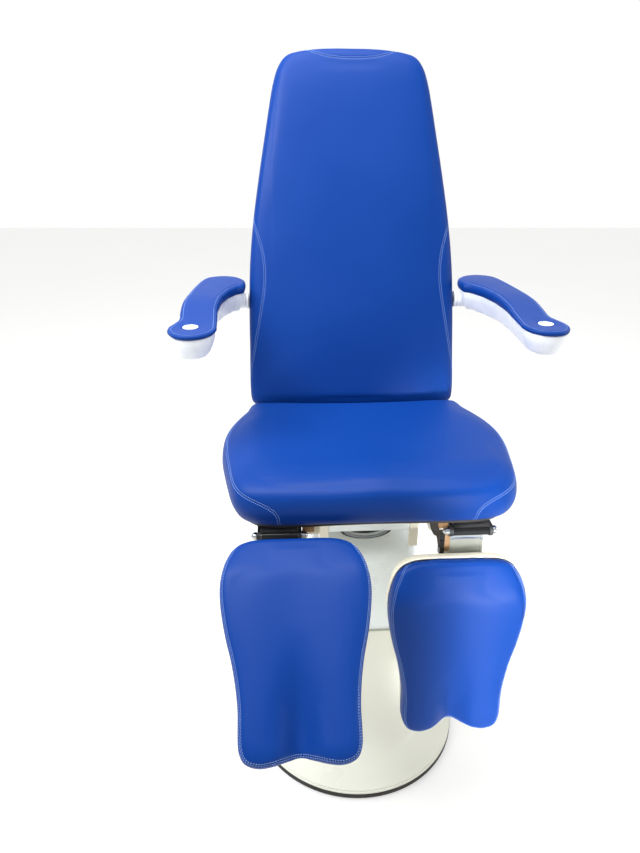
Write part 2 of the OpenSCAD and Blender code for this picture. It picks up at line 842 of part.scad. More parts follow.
module yoke_cheeks() {
    low = yoke_top - post_drop;
    top = yoke_top + post_top;
    color(cream) both() difference() {
        union() {
            plate_x(yoke_half - cheek_t, yoke_half) {
                polygon([[-post_front, low], [-yoke_front + cheek_step, low],
                         [-yoke_front + 2 * cheek_step, yoke_z],
                         [yoke_rear, yoke_z], [yoke_rear, yoke_top + cheek_end_h],
                         [tilt_y + boss_r, tilt_z], [tilt_y, top], [-post_front, top]]);
                translate([tilt_y, tilt_z]) circle(boss_r);
            }
            box([box_half, -post_front, low], [yoke_half - cheek_t + overrun, post_t - post_front, top]);
        }
        translate([0, tilt_y, tilt_z])
            rod_x(yoke_half - cheek_t - overrun, yoke_half + overrun, bush_r);
    }
}

module tilt_bushes() {
    color(brass) both() translate([0, tilt_y, tilt_z]) difference() {
        union() {
            rod_x(yoke_half - cheek_t, yoke_half, bush_r - running);
            rod_x(yoke_half, yoke_half + bush_flange_t, bush_flange_r);
        }
        rod_x(yoke_half - cheek_t - overrun, yoke_half + bush_flange_t + overrun, shaft_r + running);
    }
}

module control_box() {
    half_y = (post_front - box_rear) / 2;
    color(cool_white) translate([0, -post_front + half_y, box_z])
        linear_extrude(box_h) rounded_square(box_half, half_y, box_edge);
}

// Cable that leaves the underside of the box, sags and goes back in
module cable_loop(from, to, drop, y, r) {
    mid = (from + to) / 2;
    reach = (to - from) / 2;
    rings = [for (k = [0 : cable_steps])
        let (a = 180 * k / cable_steps)
        let (along = [reach * sin(a), -drop * cos(a)] / norm([reach * sin(a), drop * cos(a)]))
        [for (j = [0 : cable_sides - 1])
            let (b = 360 * j / cable_sides)
            [mid - reach * cos(a) - along[1] * r * cos(b), y + r * sin(b),
             box_z - drop * sin(a) + along[0] * r * cos(b)]]];
    loft(rings, [from, y, box_z], [to, y, box_z]);
}

module cable_loops() {
    for (i = [0 : len(cable_starts) - 1]) color(i == 1 ? steel : black)
        cable_loop(cable_starts[i], cable_ends[i], cable_drops[i], cable_y + cable_rows[i], cable_radii[i]);
}

module tilt_actuator() {
    block_front = -tilt_tube_front - tilt_block_l;
    color(dark) difference() {
        union() {
            translate([0, 0, tilt_rod_z]) rod_y(-tilt_tube_front, tilt_tube_rear, tilt_tube_r);
            translate([tilt_motor_x, 0, tilt_rod_z])
                rod_y(-tilt_tube_front, tilt_motor_l - tilt_tube_front, tilt_motor_r);
            box([-tilt_tube_r, block_front, yoke_top],
                [tilt_motor_x + tilt_motor_r, -tilt_tube_front, tilt_rod_z + tilt_tube_r]);
            box([-tilt_foot_half, tilt_tube_rear - tilt_block_l, yoke_top],
                [tilt_foot_half, tilt_tube_rear, tilt_rod_z]);
        }
        translate([0, 0, tilt_rod_z])
            rod_y(-tilt_bore_front, tilt_tube_rear + overrun, tilt_rod_r + running);
    }
}

// Rod of the tilt actuator: its pin has play in the crank, which swings in an arc
module tilt_rod() {
    rod_end = tilt_y - crank_half_w - tilt_rod_clear;
    color(bright) translate([0, 0, tilt_rod_z]) {
        rod_y(-tilt_rod_front, rod_end, tilt_rod_r);
        box([-tilt_eye_half, rod_end - overrun, -tilt_pin_r], [tilt_eye_half, tilt_y, tilt_pin_r]);
        translate([0, tilt_y, 0]) {
            rod_x(-tilt_eye_half, tilt_eye_half, tilt_eye_r);
            rod_x(-crank_x - crank_t - pin_proud, crank_x + crank_t + pin_proud, tilt_pin_r);
        }
    }
}

module tilt_shaft() {
    color(steel) translate([0, tilt_y, tilt_z]) {
        rod_x(-rail_x, rail_x, shaft_r);
        both() difference() {
            plate_x(crank_x, crank_x + crank_t) {
                circle(crank_half_w);
                translate([0, -tilt_crank]) circle(crank_half_w);
                translate([-crank_half_w, -tilt_crank]) square([2 * crank_half_w, tilt_crank]);
            }
            translate([0, 0, -tilt_crank])
                rod_x(crank_x - overrun, crank_x + crank_t + overrun, tilt_pin_r + pin_play);
        }
    }
}

// Seat frame: two rails, cross tubes between and beside them, and the board
module seat_rails() {
    color(dark) both() difference() {
        box([rail_x, -rail_front, rail_z], [rail_out_x, rail_rear, rail_top]);
        box([rail_x + rail_wall, -rail_front - overrun, rail_z + rail_wall],
            [rail_out_x - rail_wall, rail_rear + overrun, rail_top - rail_wall]);
    }
}

module seat_cross_tubes() {
    low = rail_top - cross_h;
    color(dark) {
        for (y = [-cross_front, rear_cross_y])
            tube_along_x([-rail_x, y, low], [rail_x, y + cross_l, rail_top], rail_wall);
        both() tube_along_x([rail_out_x, -cross_front, low],
                            [cross_reach, cross_l - cross_front, rail_top], rail_wall);
    }
}

function seat_outline() =
    moved(smooth_loop(both_sides(seat_shares, seat_w, seat_depth), fine_steps), [0, -seat_front]);
seat_middle = [0, seat_depth / 2 - seat_front];
function seat_middles() = around(seat_outline(), seat_middle);

module seat_board() {
    color(wood) translate([0, 0, rail_top]) linear_extrude(board_t)
        polygon(drawn_in(seat_outline(), seat_middles(), board_inset));
}

module seat_cushion() {
    depth_at = function (p)
        let (across = p[0] / (seat_w / 2), back = p[1] + seat_front)
        seat_thick - seat_fall * (1 - ease(back / seat_fall_l))
        + seat_ridge * bell(p[0], seat_ridge_w) * (1 - ease(back / seat_hollow_l))
        - seat_dish * (1 - across * across) * ease(back / seat_hollow_l);
    color(blue) translate([0, 0, seat_z]) cushion(seat_outline(), seat_middles(), seat_insets, depth_at);
}

// Leg hinges: ears on the front of the frame, and bolts with domed nuts
module leg_brackets() {
    color(dark) both() {
        box([ear_in_x, -cross_front - ear_plate_t, rail_top - cross_h],
            [cross_reach, -cross_front, rail_top]);
        for (x = [ear_in_x, ear_out_x]) difference() {
            plate_x(x, x + ear_t) {
                translate([leg_hinge_y, leg_hinge_z]) circle(ear_r);
                translate([leg_hinge_y, leg_hinge_z - ear_r])
                    square([-cross_front - ear_plate_t / 2 - leg_hinge_y, 2 * ear_r]);
            }
            translate([0, leg_hinge_y, leg_hinge_z]) rod_x(x - overrun, x + ear_t + overrun, hinge_pin_r);
        }
    }
}

module leg_hinge_pins() {
    color(bright) both() translate([0, leg_hinge_y, leg_hinge_z]) {
        rod_x(ear_in_x, cross_reach, hinge_pin_r - running);
        rod_x(ear_in_x - nut_collar, ear_in_x, nut_dome_r);
        intersection() {
            translate([cross_reach + nut_collar, 0, 0]) sphere(nut_dome_r);
            rod_x(cross_reach, cross_reach + nut_collar + nut_dome_r, nut_dome_r);
        }
    }
}

// Leg rests are drawn in their own frame: X across, -Y down the leg, +Z out of its face
module leg_frame(right, slid) {
    mirror([right ? 0 : 1, 0, 0]) translate([0, leg_hinge_y, leg_hinge_z])
        rotate([right ? leg_angle_right : leg_angle_left, 0, 0])
        translate([0, (right && slid) ? -leg_out_right : 0, 0]) children();
}

module leg_tongue(right) {
    half = tongue_w / 2;
    color(bright) leg_frame(right, false) difference() {
        union() {
            rod_x(tongue_x - barrel_half, tongue_x + barrel_half, barrel_r);
            translate([0, 0, tongue_z]) {
                box([tongue_x - half, -tongue_len, -tongue_t / 2], [tongue_x + half, 0, tongue_t / 2]);
                for (x = [tongue_x - half, tongue_x + half - tongue_bead_w])
                    box([x, -tongue_len, -tongue_t / 2 - tongue_bead],
                        [x + tongue_bead_w, 0, tongue_t / 2 + tongue_bead]);
                box([strut_x, -strut_end, -strut_half],
                    [strut_x + strut_t, -strut_start, guide_half - gap]);
                box([strut_x, -strut_end, -tongue_t / 2], [tongue_x, -strut_mid, tongue_t / 2]);
            }
            for (x = [tongue_x - half, tongue_x + half - web_t])
                box([x, -web_len, tongue_z], [x + web_t, 0, 0]);
        }
        rod_x(tongue_x - barrel_half - overrun, tongue_x + barrel_half + overrun, hinge_pin_r + running);
    }
}
module leg_tongue_left() { leg_tongue(false); }
module leg_tongue_right() { leg_tongue(true); }

// Guide: a flat tube on the back of the shell, which the tongue slides in
module leg_guide(right) {
    in_x = tongue_w / 2 + gap;
    in_z = guide_half - guide_wall;
    low = -guide_start - guide_len;
    color(black) leg_frame(right, true) translate([0, 0, tongue_z]) difference() {
        box([tongue_x - in_x - guide_wall, low, -guide_half],
            [tongue_x + in_x + guide_wall, -guide_start, guide_half]);
        box([tongue_x - in_x, low - overrun, -in_z], [tongue_x + in_x, -guide_start + overrun, in_z]);
        box([strut_x, -strut_end - gap, -in_z], [tongue_x, -guide_start + overrun, in_z]);
        translate([tongue_x, -knob_s, -guide_half - overrun])
            cylinder(h = guide_half, r = knob_stem_r + running);
    }
}
module leg_guide_left() { leg_guide(false); }
module leg_guide_right() { leg_guide(true); }

function leg_outline(start, length, steps) =
    moved(turned(smooth_loop(both_sides(leg_shares, leg_w, length), steps)), [leg_x, -start]);
function leg_middles(outline, start, length) = around(outline, [leg_x, -start - length * fan_share]);

module leg_shell(right) {
    start = leg_start - shell_over;
    length = leg_len + shell_over - shell_short;
    outline = leg_outline(start, length, coarse_steps);
    levels = [for (share = shell_levels_share) -shell_back + share * (shell_back + shell_rim)];
    color(cream) leg_frame(right, true)
        bowl(outline, leg_middles(outline, start, length), shell_insets, levels, shell_wall, shell_wall);
}
module leg_shell_left() { leg_shell(false); }
module leg_shell_right() { leg_shell(true); }

module leg_cushion(right) {
    depth_at = function (p)
        let (s = -p[1] - leg_start, x = p[0] - leg_x)
        let (down = ease((s / leg_len - groove_start_share) / (1 - groove_start_share)))
        leg_low + (leg_thick - leg_low) * ease(s / leg_rise_l)
        - trough_depth * bell(x, trough_w) * (1 - down) * ease(s / leg_rise_l)
        - groove_depth * bell(x, groove_w) * down;
    outline = leg_outline(leg_start, leg_len, fine_steps);
    color(blue) leg_frame(right, true) translate([0, 0, shell_rim])
        cushion(outline, leg_middles(outline, leg_start, leg_len), leg_insets, depth_at);
}
module leg_cushion_left() { leg_cushion(false); }
module leg_cushion_right() { leg_cushion(true); }

// Knob behind the guide, whose stem clamps the tongue
module leg_knob(right) {
    color(black) leg_frame(right, true) translate([tongue_x, -knob_s, guide_back - knob_gap]) {
        cylinder(h = knob_gap + guide_half - tongue_t / 2 - gap, r = knob_stem_r);
        translate([0, 0, -knob_h]) {
            cylinder(h = knob_h, r = knob_r);
            for (i = [0 : knob_lobes - 1]) rotate([0, 0, i * 360 / knob_lobes])
                translate([knob_r, 0, 0]) cylinder(h = knob_h, r = knob_lobe_r);
        }
    }
}
module leg_knob_left() { leg_knob(false); }
module leg_knob_right() { leg_knob(true); }

// Back hinges: plates that rise from the rails, and their pins
module back_hinge_plates() {
    color(dark) both() difference() {
        plate_x(rail_out_x, rail_out_x + hinge_plate_t) {
            translate([back_hinge_y, back_hinge_z]) circle(hinge_boss_r);
            polygon([[hinge_plate_y, rail_z], [rail_rear, rail_z],
                     [back_hinge_y + hinge_boss_r, back_hinge_z - overrun],
                     [back_hinge_y, back_hinge_z],
                     [back_hinge_y - hinge_boss_r, back_hinge_z + overrun],
                     [seat_rear + hinge_plate_rise, rail_top - overrun],
                     [hinge_plate_y, rail_top - overrun]]);
        }
        translate([0, back_hinge_y, back_hinge_z])
            rod_x(rail_out_x - overrun, rail_out_x + hinge_plate_t + overrun, back_pin_r);
    }
}

module back_hinge_pins() {
    lug_end = upright_x + lug_t + gap;
    color(steel) both() translate([0, back_hinge_y, back_hinge_z]) {
        rod_x(rail_out_x - pin_head_t, rail_out_x, pin_head_r);
        rod_x(rail_out_x, lug_end, back_pin_r - running);
        rod_x(lug_end, lug_end + pin_head_t, pin_head_r);
    }
}

module back_actuator() {
    front = cross_l - cross_front;
    color(dark) translate([0, 0, actuator_z]) difference() {
        union() {
            box([actuator_x - actuator_r, front, -actuator_r],
                [actuator_x + actuator_motor_out + actuator_motor_r, front + actuator_block, actuator_r]);
            translate([actuator_x, 0, 0])
                rod_y(front + actuator_block - overrun, actuator_rear, actuator_r);
            translate([actuator_x + actuator_motor_out, 0, 0])
                rod_y(front + actuator_block - overrun, front + actuator_block + actuator_motor_l,
                      actuator_motor_r);
        }
        translate([actuator_x, 0, 0])
            rod_y(front + actuator_block, actuator_rear + overrun, back_rod_r + running);
    }
}

module back_rod() {
    color(bright) translate([0, back_rod_y, actuator_z]) {
        translate([actuator_x, 0, 0]) rod_y(-back_rod_len, -back_eye_r / 2, back_rod_r);
        rod_x(actuator_x - back_eye_t / 2, actuator_x + back_eye_t / 2, back_eye_r);
        rod_x(upright_out_x, actuator_x, back_pin_small_r);
    }
}

// Back parts are drawn in their own frame: X across, +Y up the back, +Z out of its face
module back_frame() {
    translate([0, back_root_y, seat_top]) rotate([90 - back_lean, 0, 0]) children();
}

// Place of the hinge in that frame: along the back, and behind its face
back_hinge_s = (back_hinge_y - back_root_y) * sin(back_lean)
    + (back_hinge_z - seat_top) * cos(back_lean);
back_hinge_t = (back_hinge_y - back_root_y) * cos(back_lean)
    - (back_hinge_z - seat_top) * sin(back_lean);

module back_uprights() {
    arm_half = slot_half + crank_wall;
    color(dark) {
        both() back_frame() {
            difference() {
                box([upright_x, upright_start, -upright_deep - upright_w],
                    [upright_out_x, upright_end, -upright_deep]);
                box([upright_x + upright_wall, upright_start - overrun,
                     upright_wall - upright_deep - upright_w],
                    [upright_out_x - upright_wall, upright_end + overrun, -upright_deep - upright_wall]);
            }
            difference() {
                union() {
                    translate([0, back_hinge_s, -back_hinge_t])
                        rod_x(upright_x, upright_x + lug_t, hinge_boss_r);
                    box([upright_x, back_hinge_s, -upright_deep - upright_w],
                        [upright_x + lug_t, upright_start, hinge_boss_r - back_hinge_t]);
                }
                translate([0, back_hinge_s, -back_hinge_t])
                    rod_x(upright_x - overrun, upright_x + lug_t + overrun, back_pin_r + running);
            }
        }
        back_frame() box([upright_out_x - crank_lap, back_hinge_s, -upright_deep - upright_w],
                         [upright_out_x + back_crank_t, lug_up, -upright_deep]);
        translate([0, back_hinge_y, back_hinge_z]) rotate([back_mid, 0, 0]) difference() {
            box([upright_out_x - crank_lap, -arm_half, -slot_far - arm_half],
                [upright_out_x + back_crank_t, arm_half, arm_half]);
            box([upright_out_x - crank_lap - overrun, -slot_half, -slot_far],
                [upright_out_x + back_crank_t + overrun, slot_half, -slot_near]);
            for (r = [slot_near, slot_far]) translate([upright_out_x, 0, -r])
                rod_x(-crank_lap - overrun, back_crank_t + overrun, slot_half);
        }
    }
}

module back_cross_tubes() {
    color(dark) back_frame() for (s = back_cross_s)
        tube_along_x([-upright_x, s, -upright_deep - upright_w],
                     [upright_x, s + upright_w, -upright_deep], upright_wall);
}

function back_outline(steps) =
    moved(smooth_loop(both_sides(back_shares, back_w, back_len), steps), [0, back_start]);
function back_middles(outline) = around(outline, [0, back_start + back_len * fan_share]);

module back_board() {
    outline = back_outline(coarse_steps);
    color(wood) back_frame() translate([0, 0, -upright_deep]) linear_extrude(back_board_t)
        polygon(drawn_in(outline, back_middles(outline), back_board_inset));
}

module back_cushion() {
    depth_at = function (p)
        let (across = abs(p[0]) / (back_w / 2))
        back_thick - back_edge_fall * pow(across, 3)
        + lumbar_rise * bell(p[1] - lumbar_s, lumbar_l) * (1 - across * across);
    outline = back_outline(fine_steps);
    color(blue) back_frame() translate([0, 0, -back_thick])
        cushion(outline, back_middles(outline), back_insets, depth_at);
}

module back_shell() {
    whole = back_outline(coarse_steps);
    keep = drawn_in(whole, back_middles(whole), back_shell_in);
    outline = [for (p = keep)
        [p[0], max(p[1], back_shell_start + (p[1] - back_start) * shell_taper_share)]];
    levels = [for (share = back_shell_levels_share)
              -back_shell_deep + share * (back_shell_deep - back_thick)];
    board_x = back_w / 2 - back_shell_in - 2 * back_shell_wall;
    color(cream) back_frame() difference() {
        bowl(outline, back_middles(outline), back_shell_insets, levels, back_shell_wall, back_shell_wall);
        box([-board_x, back_shell_start - back_shell_in, -upright_deep - gap],
            [board_x, back_shell_start + 3 * back_shell_in, -back_thick + overrun]);
        both() box([0, back_shell_start - back_shell_in, -upright_deep - upright_w - 2 * gap],
                   [upright_out_x + back_crank_t + 4 * gap,
                    back_shell_start + 3 * back_shell_in, -back_thick + overrun]);
        both() box([upright_out_x, arm_s_along - arm_bar_h / 2 - 2 * gap,
                    -upright_deep - upright_w + 2 * gap],
                   [back_w / 2, arm_s_along + arm_bar_h / 2 + 2 * gap, -upright_deep + 2 * gap]);
    }
}

// Arm hinges on brackets that reach round the side of the back
arm_s_along = (arm_hinge_y - back_root_y) * sin(back_lean) + arm_hinge_up * cos(back_lean);
arm_t_along = (arm_hinge_y - back_root_y) * cos(back_lean) - arm_hinge_up * sin(back_lean);

module arm_brackets() {
    s = arm_s_along;
    t = arm_t_along;
    bar_z = -upright_deep - (upright_w + arm_bar_t) / 2;
    color(cream) both() back_frame() difference() {
        union() {
            box([upright_out_x, s - arm_bar_h / 2, bar_z],
                [arm_plate_x + arm_plate_t, s + arm_bar_h / 2, bar_z + arm_bar_t]);
            box([arm_plate_x, s - arm_plate_r, bar_z], [arm_plate_x + arm_plate_t, s + arm_plate_r, -t]);
            translate([0, s, -t]) rod_x(arm_plate_x, arm_plate_x + arm_plate_t, arm_plate_r);
        }
        translate([0, s, -t]) rod_x(arm_plate_x - overrun, arm_plate_x + arm_plate_t + overrun, arm_pin_r);
    }
}

module arm_pivots() {
    color(steel) both() translate([0, arm_hinge_y, arm_hinge_z]) {
        rod_x(arm_plate_x, arm_x + arm_hub_t + gap, arm_pin_r - running);
        rod_x(arm_x + arm_hub_t + gap, arm_x + arm_hub_t + gap + arm_cap_t, arm_cap_r);
    }
}

// Arm rests are drawn in their own frame: level with the widest line of the pad
module arm_frame() {
    translate([0, arm_tip_y, arm_tip_z]) rotate([arm_slope, 0, 0]) children();
}
function arm_point(share) = [arm_x + share[0] * arm_reach, share[1] * arm_len];
arm_half_count = len(arm_inner_shares);
arm_outline = [for (share = concat(arm_inner_shares, [arm_tip_share],
                                   [for (i = [arm_half_count - 1 : -1 : 0]) arm_outer_shares[i]]))
               arm_point(share)];

// Middle for each point: halfway across the arm, and short of its two ends
arm_middles = [for (i = [0 : 2 * arm_half_count])
    let (k = clamp(min(i, 2 * arm_half_count - i), arm_end_stations[0], arm_end_stations[1]))
    (arm_outline[k] + arm_outline[2 * arm_half_count - k]) / 2];

module arm_body(side) {
    levels = [for (share = arm_body_levels_share) -arm_pad_below - arm_depth * (1 - share)];
    color(cream) mirror([side, 0, 0]) difference() {
        union() {
            arm_frame()
                bowl(arm_outline, arm_middles, arm_body_insets, levels, arm_floor, arm_wall, false);
            translate([0, arm_hinge_y, arm_hinge_z]) rod_x(arm_x, arm_x + arm_hub_t, arm_hub_r);
        }
        translate([0, arm_hinge_y, arm_hinge_z])
            rod_x(arm_x - overrun, arm_x + arm_hub_t + overrun, arm_pin_r + running);
        translate([arm_x + arm_hub_t, arm_hinge_y, arm_hinge_z])
            rod_x(0, arm_cap_t + gap + overrun, arm_cap_r + gap);
    }
}
module arm_body_left() { arm_body(1); }
module arm_body_right() { arm_body(0); }

module arm_pad(side) {
    hole = arm_point(arm_hole_share);
    depth_at = function (p)
        arm_hole_thick + (arm_pad_thick - arm_hole_thick) * ease(norm(p - hole) / arm_rise_len);
    color(blue) mirror([side, 0, 0]) arm_frame() translate([0, 0, -arm_pad_below]) difference() {
        cushion(arm_outline, arm_middles, arm_insets, depth_at, false);
        translate([hole[0], hole[1], -overrun])
            cylinder(h = arm_hole_thick + 3 * overrun, r = arm_hole_r + socket_wall);
    }
}
module arm_pad_left() { arm_pad(1); }
module arm_pad_right() { arm_pad(0); }

module arm_socket(side) {
    hole = arm_point(arm_hole_share);
    color(cool_white) mirror([side, 0, 0]) arm_frame()
        translate([hole[0], hole[1], arm_hole_thick - arm_pad_below - socket_depth]) difference() {
            cylinder(h = socket_depth + overrun, r = arm_hole_r + socket_wall - running);
            translate([0, 0, -overrun]) cylinder(h = socket_depth + 3 * overrun, r = arm_hole_r);
        }
}
module arm_socket_left() { arm_socket(1); }
module arm_socket_right() { arm_socket(0); }

floor_ring();
base_plate();
base_cover();
base_screws();
mains_inlet();
column_outer();
outer_glides();
lift_drive();
lift_screw();
column_middle();
middle_glides();
hollow_screw();
column_inner();
nut_tube();
column_head();
swivel_bearing();
upper_cover();
turntable();
yoke_base();
yoke_cheeks();
tilt_bushes();
control_box();
cable_loops();
tilt_actuator();
tilt_rod();
seat_rails();
seat_cross_tubes();
tilt_shaft();
seat_board();
seat_cushion();
leg_brackets();
leg_hinge_pins();
back_hinge_plates();
back_hinge_pins();
back_actuator();
back_rod();
back_uprights();
back_cross_tubes();
back_board();
back_cushion();
back_shell();
arm_brackets();
arm_pivots();
arm_body_left();
arm_body_right();
arm_pad_left();
arm_pad_right();
arm_socket_left();
arm_socket_right();
leg_tongue_left();
leg_tongue_right();
leg_guide_left();
leg_guide_right();
leg_shell_left();
leg_shell_right();
leg_cushion_left();
leg_cushion_right();
leg_knob_left();
leg_knob_right();
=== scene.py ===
"""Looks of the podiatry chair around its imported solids. Shapes are worked out in millimetres
and put into Blender in metres, in the frame of the solids."""
import math

import bmesh
import bpy
import numpy as np
from mathutils import Matrix, Vector
from mathutils.bvhtree import BVHTree


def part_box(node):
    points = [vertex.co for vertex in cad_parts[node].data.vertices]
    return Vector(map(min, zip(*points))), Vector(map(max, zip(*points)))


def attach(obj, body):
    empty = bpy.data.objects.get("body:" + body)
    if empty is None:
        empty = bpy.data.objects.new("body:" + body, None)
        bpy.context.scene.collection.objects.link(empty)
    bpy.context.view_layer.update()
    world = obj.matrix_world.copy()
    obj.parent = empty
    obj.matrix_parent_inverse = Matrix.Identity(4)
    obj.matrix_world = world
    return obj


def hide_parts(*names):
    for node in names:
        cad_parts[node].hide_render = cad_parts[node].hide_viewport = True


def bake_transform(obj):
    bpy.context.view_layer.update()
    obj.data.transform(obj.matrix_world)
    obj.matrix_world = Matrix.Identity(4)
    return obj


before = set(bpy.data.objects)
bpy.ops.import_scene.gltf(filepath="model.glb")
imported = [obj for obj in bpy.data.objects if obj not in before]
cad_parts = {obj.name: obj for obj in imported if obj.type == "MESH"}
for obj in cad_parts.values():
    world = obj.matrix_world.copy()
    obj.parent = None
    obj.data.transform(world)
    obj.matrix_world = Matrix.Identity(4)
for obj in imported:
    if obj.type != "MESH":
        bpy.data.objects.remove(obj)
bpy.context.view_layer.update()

scene = bpy.context.scene
scene.view_settings.view_transform = "Standard"
MM = 0.001
PER_METRE = 1000

# Camera: its place in millimetres, its turns in radians, and its focal length in the photograph's pixels
EYE = np.array([-202.0, -1392.0, 1577.0])
YAW, PITCH, ROLL = 0.071, 0.441, 0.011
FOCAL_PX, PHOTO_H_PX = 663.8, 853
ahead = np.array([math.sin(YAW) * math.cos(PITCH), math.cos(YAW) * math.cos(PITCH), -math.sin(PITCH)])
level = np.array([math.cos(YAW), -math.sin(YAW), 0.0])
upward = np.cross(level, ahead)
cam_x = math.cos(ROLL) * level + math.sin(ROLL) * upward
cam_y = math.cos(ROLL) * upward - math.sin(ROLL) * level

lens = bpy.data.cameras.new("photo_view")
lens.sensor_width = 36
lens.lens = FOCAL_PX * lens.sensor_width / PHOTO_H_PX
lens.clip_start, lens.clip_end = 0.05, 60
camera = bpy.data.objects.new("photo_view", lens)
scene.collection.objects.link(camera)
camera_axes = [[*axis, 0] for axis in (cam_x, cam_y, -ahead)]
camera.matrix_world = Matrix(camera_axes + [[0, 0, 0, 1]]).transposed()
camera.location = EYE * MM
scene.camera = camera


# Curves and outlines
def ease(x):
    """Smooth step from 0 to 1: 3t squared less 2t cubed, held at its ends."""
    t = np.clip(x, 0, 1)
    return t * t * (3 - 2 * t)


def unit(v):
    """Vectors of length 1 along the given ones."""
    return v / np.linalg.norm(v, axis=-1)[..., None]


def bell(x, width):
    """Bell curve of height 1: e to the power of minus (x / width) squared."""
    return np.exp(-((x / width) ** 2))


def between(a, b, c, d, t):
    """Catmull-Rom curve from b to c at t, with a before and d after."""
    return (2 * b + (c - a) * t + (2 * a - 5 * b + 4 * c - d) * t**2
            + (3 * b - a - 3 * c + d) * t**3) / 2


def smooth_loop(points, steps):
    """Closed Catmull-Rom curve through the points, with the stated steps between two of them."""
    p = np.asarray(points, float)
    t = (np.arange(steps) / steps)[None, :, None]
    q = between(*(np.roll(p, k, 0)[:, None] for k in (1, 0, -1, -2)), t)
    return q.reshape(-1, p.shape[1])


def smooth_path(points, steps):
    """Open Catmull-Rom curve through the points, both ends included."""
    p = np.asarray(points, float)
    p = np.vstack([2 * p[0] - p[1], p, 2 * p[-1] - p[-2]])
    t = (np.arange(steps) / steps)[None, :, None]
    q = between(p[:-3, None], p[1:-2, None], p[2:-1, None], p[3:, None], t)
    return np.vstack([q.reshape(-1, p.shape[1]), p[-2:-1]])


def evenly(path, pitch):
    """The path again with points a pitch apart, measured along it."""
    s = np.r_[0, np.cumsum(np.linalg.norm(np.diff(path, axis=0), axis=1))]
    at = np.linspace(0, s[-1], max(2, int(round(s[-1] / pitch)) + 1))
    return np.stack([np.interp(at, s, path[:, k]) for k in range(path.shape[1])], 1)


def both_sides(half, width, length):
    """Whole outline from shares along one side: there, and back mirrored."""
    there = np.array(half) * [width / 2, length]
    return np.vstack([there, there[-2:0:-1] * [-1, 1]])


# How far an outline is drawn in square to itself, before it goes on towards its middle
SQUARE_INSET = 8


def drawn_in(loop, middles, inset):
    """Outline drawn in by an inset: square to itself at first, then towards each point's middle."""
    d = np.roll(loop, -1, 0) - np.roll(loop, 1, 0)
    inward = unit(np.c_[-d[:, 1], d[:, 0]])
    p = loop + inward * min(inset, SQUARE_INSET)
    to_middle = middles - p
    return p + to_middle * max(inset - SQUARE_INSET, 0) / np.linalg.norm(to_middle, axis=1)[:, None]


def set_in(points, place, lift=0.0, mirror=False):
    """Points of a part's own frame set into the chair's: raised out of the part's plane, turned about
    X, moved to the part's origin, and mirrored if asked."""
    c, s = math.cos(math.radians(place["turn"])), math.sin(math.radians(place["turn"]))
    turned = (np.asarray(points) + [0, 0, lift]) @ np.array([[1, 0, 0], [0, c, s], [0, -s, c]])
    return (turned + place["origin"]) * [-1 if mirror else 1, 1, 1]


# The chair's own frame as a place
CHAIR = dict(turn=0, origin=(0, 0, 0))


# Mesh making
def piece(name, points, faces, smooth=True):
    """Mesh object from points in millimetres and faces given as arrays of corners."""
    mesh = bpy.data.meshes.new(name)
    corners = [face for group in faces for face in group.tolist()]
    mesh.from_pydata((np.asarray(points) * MM).tolist(), [], corners)
    mesh.polygons.foreach_set("use_smooth", np.full(len(mesh.polygons), smooth))
    obj = bpy.data.objects.new(name, mesh)
    scene.collection.objects.link(obj)
    return obj


def merged(obj, distance=0.02):
    """Joins points that lie on each other, as where a ring has shrunk to a line or a point."""
    work = bmesh.new()
    work.from_mesh(obj.data)
    bmesh.ops.remove_doubles(work, verts=work.verts, dist=distance * MM)
    bmesh.ops.dissolve_degenerate(work, edges=work.edges, dist=distance * MM)
    work.to_mesh(obj.data)
    work.free()
    return obj


def ring_faces(k, n, round_trip=False):
    """Corners of the quads between k rings of n points each, and on a round trip from last to first."""
    row = np.arange(k if round_trip else k - 1)[:, None]
    j = np.arange(n)[None, :]
    low, high, on = row * n, (row + 1) % k * n, (j + 1) % n
    return np.stack([low + j, low + on, high + on, high + j], -1).reshape(-1, 4)


def skin(name, rings, mirror=False, round_trip=False):
    """Skin over a stack of rings, array (rings, points, 3), that close on themselves."""
    k, n, _ = rings.shape
    faces = ring_faces(k, n, round_trip=round_trip)
    return merged(piece(name, rings.reshape(-1, 3), [faces[:, ::-1] if mirror else faces]))


def capped(path, rings):
    """Rings round a path, with two more that have shrunk to the path's ends and close it there."""
    count = rings.shape[1]
    first, last = np.repeat(path[:1, None], count, 1), np.repeat(path[-1:, None], count, 1)
    return np.concatenate([first, rings, last])


def tube(name, path, radius, sides):
    """Round tube along a path: at each point a circle square to the path's direction."""
    along = unit(np.gradient(path, axis=0))
    ref = np.cross(along[len(along) // 2], [0.3, 0.2, 0.93])
    across = unit(ref - (along @ ref)[:, None] * along)
    third = np.cross(along, across)
    a = np.arange(sides) * 2 * math.pi / sides
    circle = np.cos(a)[None, :, None] * across[:, None] + np.sin(a)[None, :, None] * third[:, None]
    return skin(name, capped(path, path[:, None] + radius * circle))


def evaluated(obj):
    """Applies all of a piece's modifiers by taking over the mesh that they give."""
    bpy.context.view_layer.update()
    graph = bpy.context.evaluated_depsgraph_get()
    mesh = bpy.data.meshes.new_from_object(obj.evaluated_get(graph))
    obj.modifiers.clear()
    old, obj.data = obj.data, mesh
    mesh.name = obj.name
    bpy.data.meshes.remove(old)
    return obj


def block(low, high, place=CHAIR, mirror=False):
    """Cutting box between two corners of a part's own frame."""
    corner = np.array(np.meshgrid([0, 1], [0, 1], [0, 1], indexing="ij")).reshape(3, -1).T
    points = set_in(np.array(low) + corner * (np.array(high) - low), place, 0, mirror)
    faces = np.array([[0, 1, 3, 2], [4, 6, 7, 5], [0, 4, 5, 1], [2, 3, 7, 6], [0, 2, 6, 4], [1, 5, 7, 3]])
    return piece("cutter", points, [faces[:, ::-1] if mirror else faces], smooth=False)


